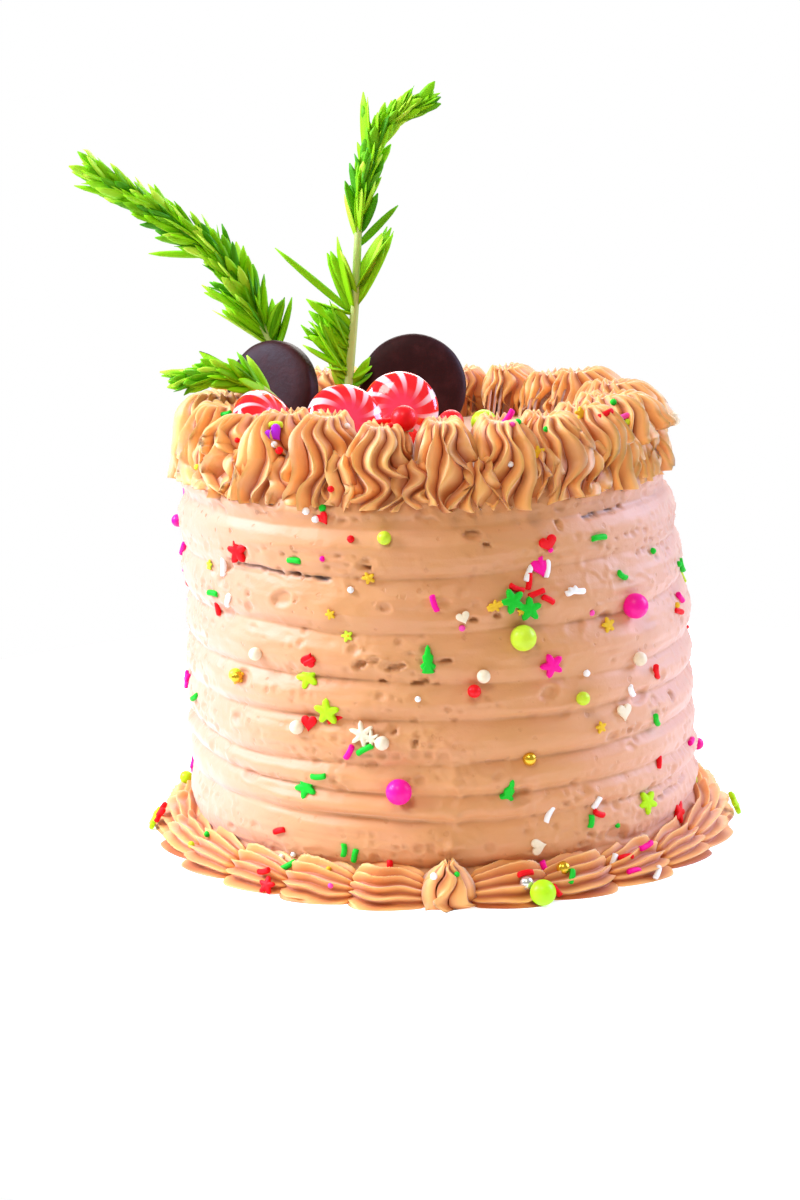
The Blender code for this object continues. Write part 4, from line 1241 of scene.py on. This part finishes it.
sprinkles = {
    "largePearl": 4.0, "smallPearl": 2.3, "dot": 1.0, "rodLength": 5.6, "rodRadius": 0.95,
    "starRadius": 4.3, "starThickness": 1.7, "seed": 3,
    "colours": {
        "red": (242, 12, 22), "magenta": (255, 12, 148), "pink": (255, 80, 170), "green": (28, 200, 44),
        "lime": (184, 234, 20), "yellow": (206, 232, 50), "gold": (236, 186, 40), "white": (255, 250, 242),
        "cream": (246, 226, 190), "silver": (226, 220, 206), "purple": (190, 40, 220),
    },
    # Places in the photograph: colour, x, y and, for some, a turn in degrees or a size
    "largePearls": [("yellow", 521, 638), ("magenta", 630, 604), ("magenta", 400, 789),
        ("lime", 541, 902)],
    "pearls": [("yellow", 385, 538), ("cream", 258, 653), ("yellow", 238, 675), ("cream", 483, 675),
        ("red", 474, 691), ("yellow", 581, 698), ("cream", 637, 658), ("cream", 383, 742),
        ("cream", 299, 727)],
    "dragees": [("gold", 528, 757), ("silver", 526, 884), ("gold", 562, 868), ("gold", 239, 677)],
    "dots": [("white", 306, 511), ("white", 316, 519), ("white", 351, 590), ("magenta", 323, 559),
        ("red", 351, 539), ("red", 324, 517), ("green", 323, 508), ("gold", 369, 577),
        ("pink", 462, 628), ("pink", 591, 613), ("green", 652, 551), ("green", 678, 564),
        ("magenta", 550, 550), ("white", 418, 699), ("white", 586, 673), ("gold", 607, 625),
        ("gold", 349, 636), ("white", 473, 465), ("white", 510, 464), ("red", 331, 489),
        ("white", 275, 444), ("white", 347, 426), ("red", 280, 450), ("red", 238, 440),
        ("red", 391, 426), ("green", 402, 424), ("green", 518, 422), ("green", 546, 429),
        ("pink", 512, 425), ("green", 613, 402), ("yellow", 198, 467), ("yellow", 627, 422),
        ("white", 434, 876), ("green", 457, 874), ("green", 617, 825), ("gold", 329, 869),
        ("yellow", 192, 845), ("green", 208, 834), ("white", 294, 854), ("white", 282, 857),
        ("pink", 331, 885), ("gold", 676, 605)],
    "rods": [("green", 295, 560, 0), ("white", 225, 567, 85), ("white", 229, 599, 60),
        ("green", 214, 593, 0), ("red", 219, 608, 80), ("green", 598, 537, 0), ("green", 621, 576, -35),
        ("green", 680, 566, -60), ("red", 516, 589, -25), ("red", 529, 581, 80), ("red", 536, 593, 15),
        ("red", 548, 599, -30), ("red", 655, 672, -60), ("red", 677, 611, -20),
        ("magenta", 434, 603, -75), ("magenta", 540, 564, -75), ("magenta", 679, 598, -40),
        ("white", 528, 573, 60), ("white", 547, 568, 80), ("white", 571, 592, 20),
        ("white", 576, 591, -10), ("white", 630, 691, -60), ("red", 547, 542, 45),
        ("white", 548, 814, 60), ("white", 596, 802, 60), ("magenta", 350, 752, 60),
        ("green", 365, 749, 30), ("green", 591, 821, 80), ("red", 598, 814, -30), ("red", 658, 762, 70),
        ("green", 655, 720, -50), ("green", 319, 777, 8), ("red", 390, 867, 85), ("green", 572, 877, 65),
        ("green", 289, 865, 30), ("red", 525, 872, 5), ("red", 556, 891, -65), ("red", 265, 871, 20),
        ("red", 625, 857, 0), ("magenta", 544, 868, -70), ("magenta", 633, 870, -5),
        ("magenta", 645, 846, 10), ("magenta", 648, 890, 0), ("white", 613, 860, 60),
        ("white", 657, 877, 40), ("red", 280, 830, 20), ("green", 225, 415, 10), ("yellow", 276, 424, 0),
        ("white", 405, 429, -12), ("red", 383, 422, 5), ("magenta", 508, 418, 50),
        ("green", 345, 850, 84), ("green", 355, 855, 74), ("green", 427, 660, 85), ("red", 336, 718, 30),
        ("magenta", 183, 548, 50), ("green", 196, 697, 30), ("magenta", 186, 680, 60),
        ("magenta", 690, 742, 0), ("red", 310, 661, 30), ("gold", 495, 606, 20), ("red", 605, 414, 20),
        ("pink", 625, 416, 10)],
    # Stars and hearts may give a size, as a share of a whole one.
    "stars": [("red", 239, 551, 10), ("gold", 369, 577, 20, 0.55), ("yellow", 348, 636, 20, 0.5),
        ("lime", 309, 677, 25), ("lime", 328, 711, 0), ("gold", 331, 614, 20, 0.45),
        ("yellow", 211, 565, 0, 0.4), ("gold", 239, 677, 20, 0.6), ("magenta", 187, 680, 20, 0.8),
        ("gold", 607, 625, 10, 0.6), ("gold", 495, 606, 0, 0.5), ("gold", 600, 727, 10, 0.5),
        ("magenta", 551, 665, 20), ("green", 529, 609, 0), ("gold", 521, 611, 0, 0.4),
        ("lime", 646, 802, 30), ("red", 677, 812, 40), ("gold", 580, 414, 0, 0.6),
        ("gold", 538, 452, 10, 0.5), ("green", 512, 601, 20), ("red", 268, 891, 0, 0.7),
        ("lime", 154, 827, 0), ("red", 158, 814, 20), ("lime", 733, 811, 10),
        ("green", 307, 787, 30, 0.9)],
    "hearts": [("red", 309, 660, 160, 0.6), ("cream", 463, 617, 20, 0.55), ("cream", 537, 846, 100, 0.7),
        ("red", 310, 722, 0, 0.7), ("red", 547, 542, 20, 0.8), ("cream", 623, 711, 0, 0.7),
        ("red", 324, 517, 30, 0.6), ("magenta", 539, 566, 10, 0.8), ("purple", 274, 433, 40, 0.75)],
    "snowflakes": [("cream", 363, 734, 10), ("cream", 372, 738, 0, 0.7)],
    "trees": [("green", 428, 659, 0), ("green", 508, 791, -15)],
    "topPearls": [("red", 406, 416), ("red", 451, 421), ("lime", 480, 422)],
    # The back, which the photograph doesn't show: the first bearing and the arc, and heights from and over
    "backArc": (88, 184), "backHeights": (24, 84), "extraHeights": (6, 132),
    "backCount": 15, "backExtra": 120,
    "backKinds": ["pearls", "rods", "stars", "rods", "hearts", "rods", "largePearls", "rods"],
    "extraKinds": ["rods", "dots", "rods", "dots", "rods", "pearls", "dots", "rods", "stars"],
    # How far past the cake's edge a place may lie and still move in to it, in steps of pixels
    "photoMiddle": 430, "edgeStep": 1.5, "edgeSteps": 14,
    # A leaning pearl's path, in front of the cake's middle, and how deep it touches and sits
    "leanFrom": -40, "leanTo": -66, "leanTouch": 0.8, "leanSunk": 0.55,
}


def landOn(origin, way, targets):
    # The first of these pieces that a line meets: the point and the surface's direction there.
    best = None
    for piece, (low, high) in targets:
        aside = np.linalg.norm(np.cross((low + high) / 2 - origin, way))
        if aside > np.linalg.norm(high - low) / 2:
            continue
        hit, place, normal = piece.ray_cast((origin * mm).tolist(), way.tolist())[:3]
        if hit:
            distance = np.linalg.norm(np.array(place) / mm - origin)
            if best is None or distance < best[0]:
                best = (distance, np.array(place) / mm, np.array(normal))
    return best


def landFromPhoto(x, y, targets):
    # Where a point of the photograph lies on the cake. One just past the edge moves in.
    step = sprinkles["edgeStep"] if x < sprinkles["photoMiddle"] else -sprinkles["edgeStep"]
    for attempt in range(sprinkles["edgeSteps"]):
        origin, way = photoRay(x + step * attempt, y)
        found = landOn(origin, way, targets)
        if found:
            return found[1], found[2]
    return None


def leanFromPhoto(x, y, radius):
    # A pearl moves out along the line of sight from the cake's middle until it leans on a swirl.
    s = sprinkles
    origin, way = photoRay(x, y)
    start, finish = (s["leanFrom"] - origin[1]) / way[1], (s["leanTo"] - origin[1]) / way[1]
    swirlBoxes = [(piece, boxOf(piece)) for piece in pipedSwirls]
    for share in np.linspace(0, 1, 60):
        centre = origin + way * (start + (finish - start) * share)
        for piece, box in swirlBoxes:
            if not closeTo(centre, box, radius):
                continue
            near = piece.closest_point_on_mesh((centre * mm).tolist())[1]
            gap = np.linalg.norm(np.array(near) / mm - centre)
            if gap < s["leanTouch"] * radius:
                out = (centre - np.array(near) / mm) / gap
                return centre - out * s["leanSunk"] * radius, out
    return centre, np.array([0, 0, 1.0])


def sprinkleFrame(place, normal, degrees):
    # Sideways, upwards along the surface, and out of it, turned about the outward direction.
    outward = np.array([place[0], place[1], 0.0])
    outward = unit(0.6 * outward / np.linalg.norm(outward) + 0.4 * normal)
    level = unit(np.cross([0, 0, 1], outward))
    upward = np.cross(outward, level)
    c, s = math.cos(math.radians(degrees)), math.sin(math.radians(degrees))
    return c * level + s * upward, -s * level + c * upward, outward


def ball(radius, rows, columns):
    # A sphere as rows between its poles.
    angle = np.linspace(0, math.pi, rows + 2)[1:-1][:, None]
    across = np.arange(columns)[None, :] * turn / columns
    grid = np.stack([np.sin(angle) * np.cos(across), np.sin(angle) * np.sin(across),
                     np.cos(angle) + 0 * across], -1) * radius
    return grid, np.array([0, 0, radius]), np.array([0, 0, -radius])


def rod(length, radius, bend):
    # A short strand with cut ends, along X, bent a little.
    along = np.array([-0.5, -0.46, -0.2, 0.2, 0.46, 0.5])
    thick = np.array([0.78, 1.0, 1.0, 1.0, 1.0, 0.78])
    angle = np.arange(8) * turn / 8
    x = along[:, None] * length + 0 * angle[None, :]
    y = thick[:, None] * radius * np.cos(angle) + bend * (4 * along[:, None] ** 2)
    z = thick[:, None] * radius * np.sin(angle)
    grid = np.stack([x, y, z], -1)
    return grid, grid[0].mean(0), grid[-1].mean(0)


def flatShape(outline, thickness):
    # An outline with rounded edges, thick in the middle.
    level = np.array([1.0, 0.75, 0.0, -0.75, -1.0])
    wide = np.array([0.82, 0.96, 1.0, 0.96, 0.82])
    heights = np.broadcast_to((level * thickness / 2)[:, None, None], (len(level), len(outline), 1))
    grid = np.concatenate([outline[None] * wide[:, None, None], heights], -1)
    pole = np.array([0, 0, thickness / 2 * 1.06])
    return grid, pole, -pole


def outlineOf(kind):
    # A star, a six-armed snowflake, a tree or a heart, going round once.
    size = sprinkles["starRadius"]
    if kind == "trees":
        a = np.arange(28) * turn / 28
        height = np.cos(a)
        wide = (0.12 + 0.5 * (1 - height) / 2) * (1 + 0.3 * np.cos(9 * a))
        return np.stack([wide * np.sign(np.sin(a)) * np.abs(np.sin(a)) ** 0.5, 1.05 * height], -1) * size
    if kind == "hearts":
        a = np.arange(24) * turn / 24
        return np.stack([16 * np.sin(a) ** 3, 13 * np.cos(a) - 5 * np.cos(2 * a) - 2 * np.cos(3 * a)
                         - np.cos(4 * a)], -1) * size / 17
    arms, sharp, waist = (6, 1.4, 0.42) if kind == "snowflakes" else (5, 1.0, 0.5)
    a = np.arange(arms * 6) * turn / (arms * 6)
    wave = 0.5 + 0.5 * np.cos(arms * a)
    reach = size * (waist + (1 - waist) * wave ** sharp)
    return np.stack([reach * np.sin(a), reach * np.cos(a)], -1)


def sprinkleShape(kind, draw):
    # Its points and poles, and how far its middle lies over the frosting.
    s = sprinkles
    if kind == "largePearls":
        return ball(s["largePearl"], 14, 24), 0.55 * s["largePearl"]
    if kind in ("pearls", "dragees"):
        return ball(s["smallPearl"] * draw.uniform(0.9, 1.0), 9, 16), 0.5 * s["smallPearl"]
    if kind == "dots":
        return ball(s["dot"] * draw.uniform(0.85, 1.25), 5, 8), 0.3 * s["dot"]
    if kind == "rods":
        return rod(s["rodLength"] * draw.uniform(0.72, 1.05), s["rodRadius"],
                   draw.uniform(-0.4, 0.5)), 0.45 * s["rodRadius"]
    scale = draw.uniform(0.92, 1.05)
    return flatShape(outlineOf(kind) * scale, s["starThickness"]), 0.35 * s["starThickness"]


def sprinkleFinish(kind):
    # Sugar with a soft gloss. Its colour comes from the piece's own attribute.
    metal = kind == "dragees"
    finish = Finish("sugar " + kind, {
        "Roughness": 0.25 if metal else 0.5, "Metallic": 0.75 if metal else 0.0,
        "Specular IOR Level": 0.5 if metal else 0.16,
        "Coat Weight": 0.2 if kind in ("dragees", "pearls", "largePearls") else 0.0, "Coat Roughness": 0.2})
    tint = finish.attribute("tint", "Color")
    deeper = finish.blend((0, 0, 0, 1), tint, 0.86 + 0.14 * finish.noise(0.7, 2.0))
    finish.feed("Base Color", deeper)
    finish.bump(finish.noise(0.5, 2.0), 0.3, 0.05)
    return finish.material


def allSprinkles(targets):
    # Each kind's places as (colour, point, surface direction, turn in degrees, size).
    s = sprinkles
    draw = random.Random(s["seed"])
    kinds = ["largePearls", "pearls", "dragees", "dots", "rods", "stars", "hearts", "snowflakes", "trees"]
    placed = {kind: [] for kind in kinds}
    for kind in kinds:
        for colour, x, y, *given in s[kind]:
            found = landFromPhoto(x, y, targets)
            if found:
                degrees, size = given[0] if given else draw.uniform(0, 180), given[1] if given[1:] else 1.0
                placed[kind].append((colour, *found, degrees, size))
    for colour, x, y in s["topPearls"]:
        placed["largePearls"].append((colour, *leanFromPhoto(x, y, s["largePearl"]), 0, 1.0))
    names = [name for name in s["colours"] if name not in ("silver", "purple")]

    def fromOutside(kind, bearing, z):
        # A line straight in to the cake's axis finds the place.
        angle = math.radians(bearing)
        outward = np.array([math.sin(angle), -math.cos(angle), 0.0])
        found = landOn(outward * 200 + np.array([0, 0, z]), -outward, targets)
        if found:
            placed[kind].append((draw.choice(names), found[1], found[2], draw.uniform(0, 180), 1.0))

    start, span = s["backArc"]
    low, tall = s["backHeights"]
    for k in range(s["backCount"]):
        fromOutside(s["backKinds"][k % len(s["backKinds"])], start + (k * goldenAngle) % span,
                    low + (k * goldenShare % 1.0) * tall)
    low, tall = s["extraHeights"]
    for k in range(s["backExtra"]):
        fromOutside(draw.choice(s["extraKinds"]), start + (k * goldenAngle + 40) % span,
                    low + (k * goldenShare % 1.0) * tall)
    return placed


def makeSprinkles():
    # One joined mesh for each kind, with a colour on every point.
    bpy.context.view_layer.update()
    targets = [(piece, boxOf(piece)) for piece in [frostedSide] + pipedSwirls + pipedShells]
    draw = random.Random(sprinkles["seed"] + 1)
    for kind, items in allSprinkles(targets).items():
        parts, colours = [], []
        for colour, place, normal, degrees, size in items:
            shape, lift = sprinkleShape(kind, draw)
            grid, first, last = [points * size for points in shape]
            level, upward, outward = sprinkleFrame(place, normal, degrees)
            frameRows = np.stack([level, upward, outward])
            centre = place + outward * lift
            grid = grid @ frameRows + centre
            # What would reach into the floor is lifted onto it.
            up = np.array([0, 0, max(0.0, 0.2 - grid[..., 2].min())])
            parts.append((grid + up, first @ frameRows + centre + up, last @ frameRows + centre + up, {}))
            count = grid.shape[0] * grid.shape[1] + 2
            colours.append(np.tile(rgba(sprinkles["colours"][colour]), (count, 1)))
        points, quads, triangles = joined(parts)[:3]
        quads, triangles = quads[:, ::-1], triangles[:, ::-1]
        piece = meshFrom("sprinkle_" + kind, points, quads, triangles, None,
                         {"tint": np.concatenate(colours)}, sprinkleFinish(kind))
        outwardFaces(piece)
        standsFor(piece, "frosting", "cake_body")
        print(kind, len(items))


def outwardFaces(piece):
    # Every closed part's faces turned to point out of it.
    form = bmesh.new()
    form.from_mesh(piece.data)
    bmesh.ops.recalc_face_normals(form, faces=form.faces)
    form.to_mesh(piece.data)
    form.free()


makeSprinkles()


# Floor

def makeFloor():
    # A round white floor that glows more towards its edge, so that it melts into the white behind.
    finish = Finish("pale floor", {"Roughness": 0.9, "Base Color": (0.85, 0.85, 0.85, 1),
                                   "Specular IOR Level": 0.1, "Emission Strength": 1.0})
    distance = finish.add('ShaderNodeVectorMath', {"operation": 'LENGTH'}, {0: finish.place()}, out="Value")
    near = studio["floorNear"]
    share = finish.ramp(distance, studio["floorPlain"] * mm, studio["floorRadius"] * mm)
    finish.feed("Emission Color", finish.blend((near, near, near, 1), (1, 1, 1, 1), share))
    angle = np.arange(96) * turn / 96
    ring = studio["floorRadius"] * np.stack([np.cos(angle), np.sin(angle), 0 * angle], -1)
    c = np.arange(96)
    fan = np.stack([np.full(96, 96), c, (c + 1) % 96], -1)
    floor = meshFrom("floor", np.concatenate([ring, [[0, 0, 0]]]), np.zeros((0, 4), int), fan,
                     None, None, finish.material)


makeFloor()
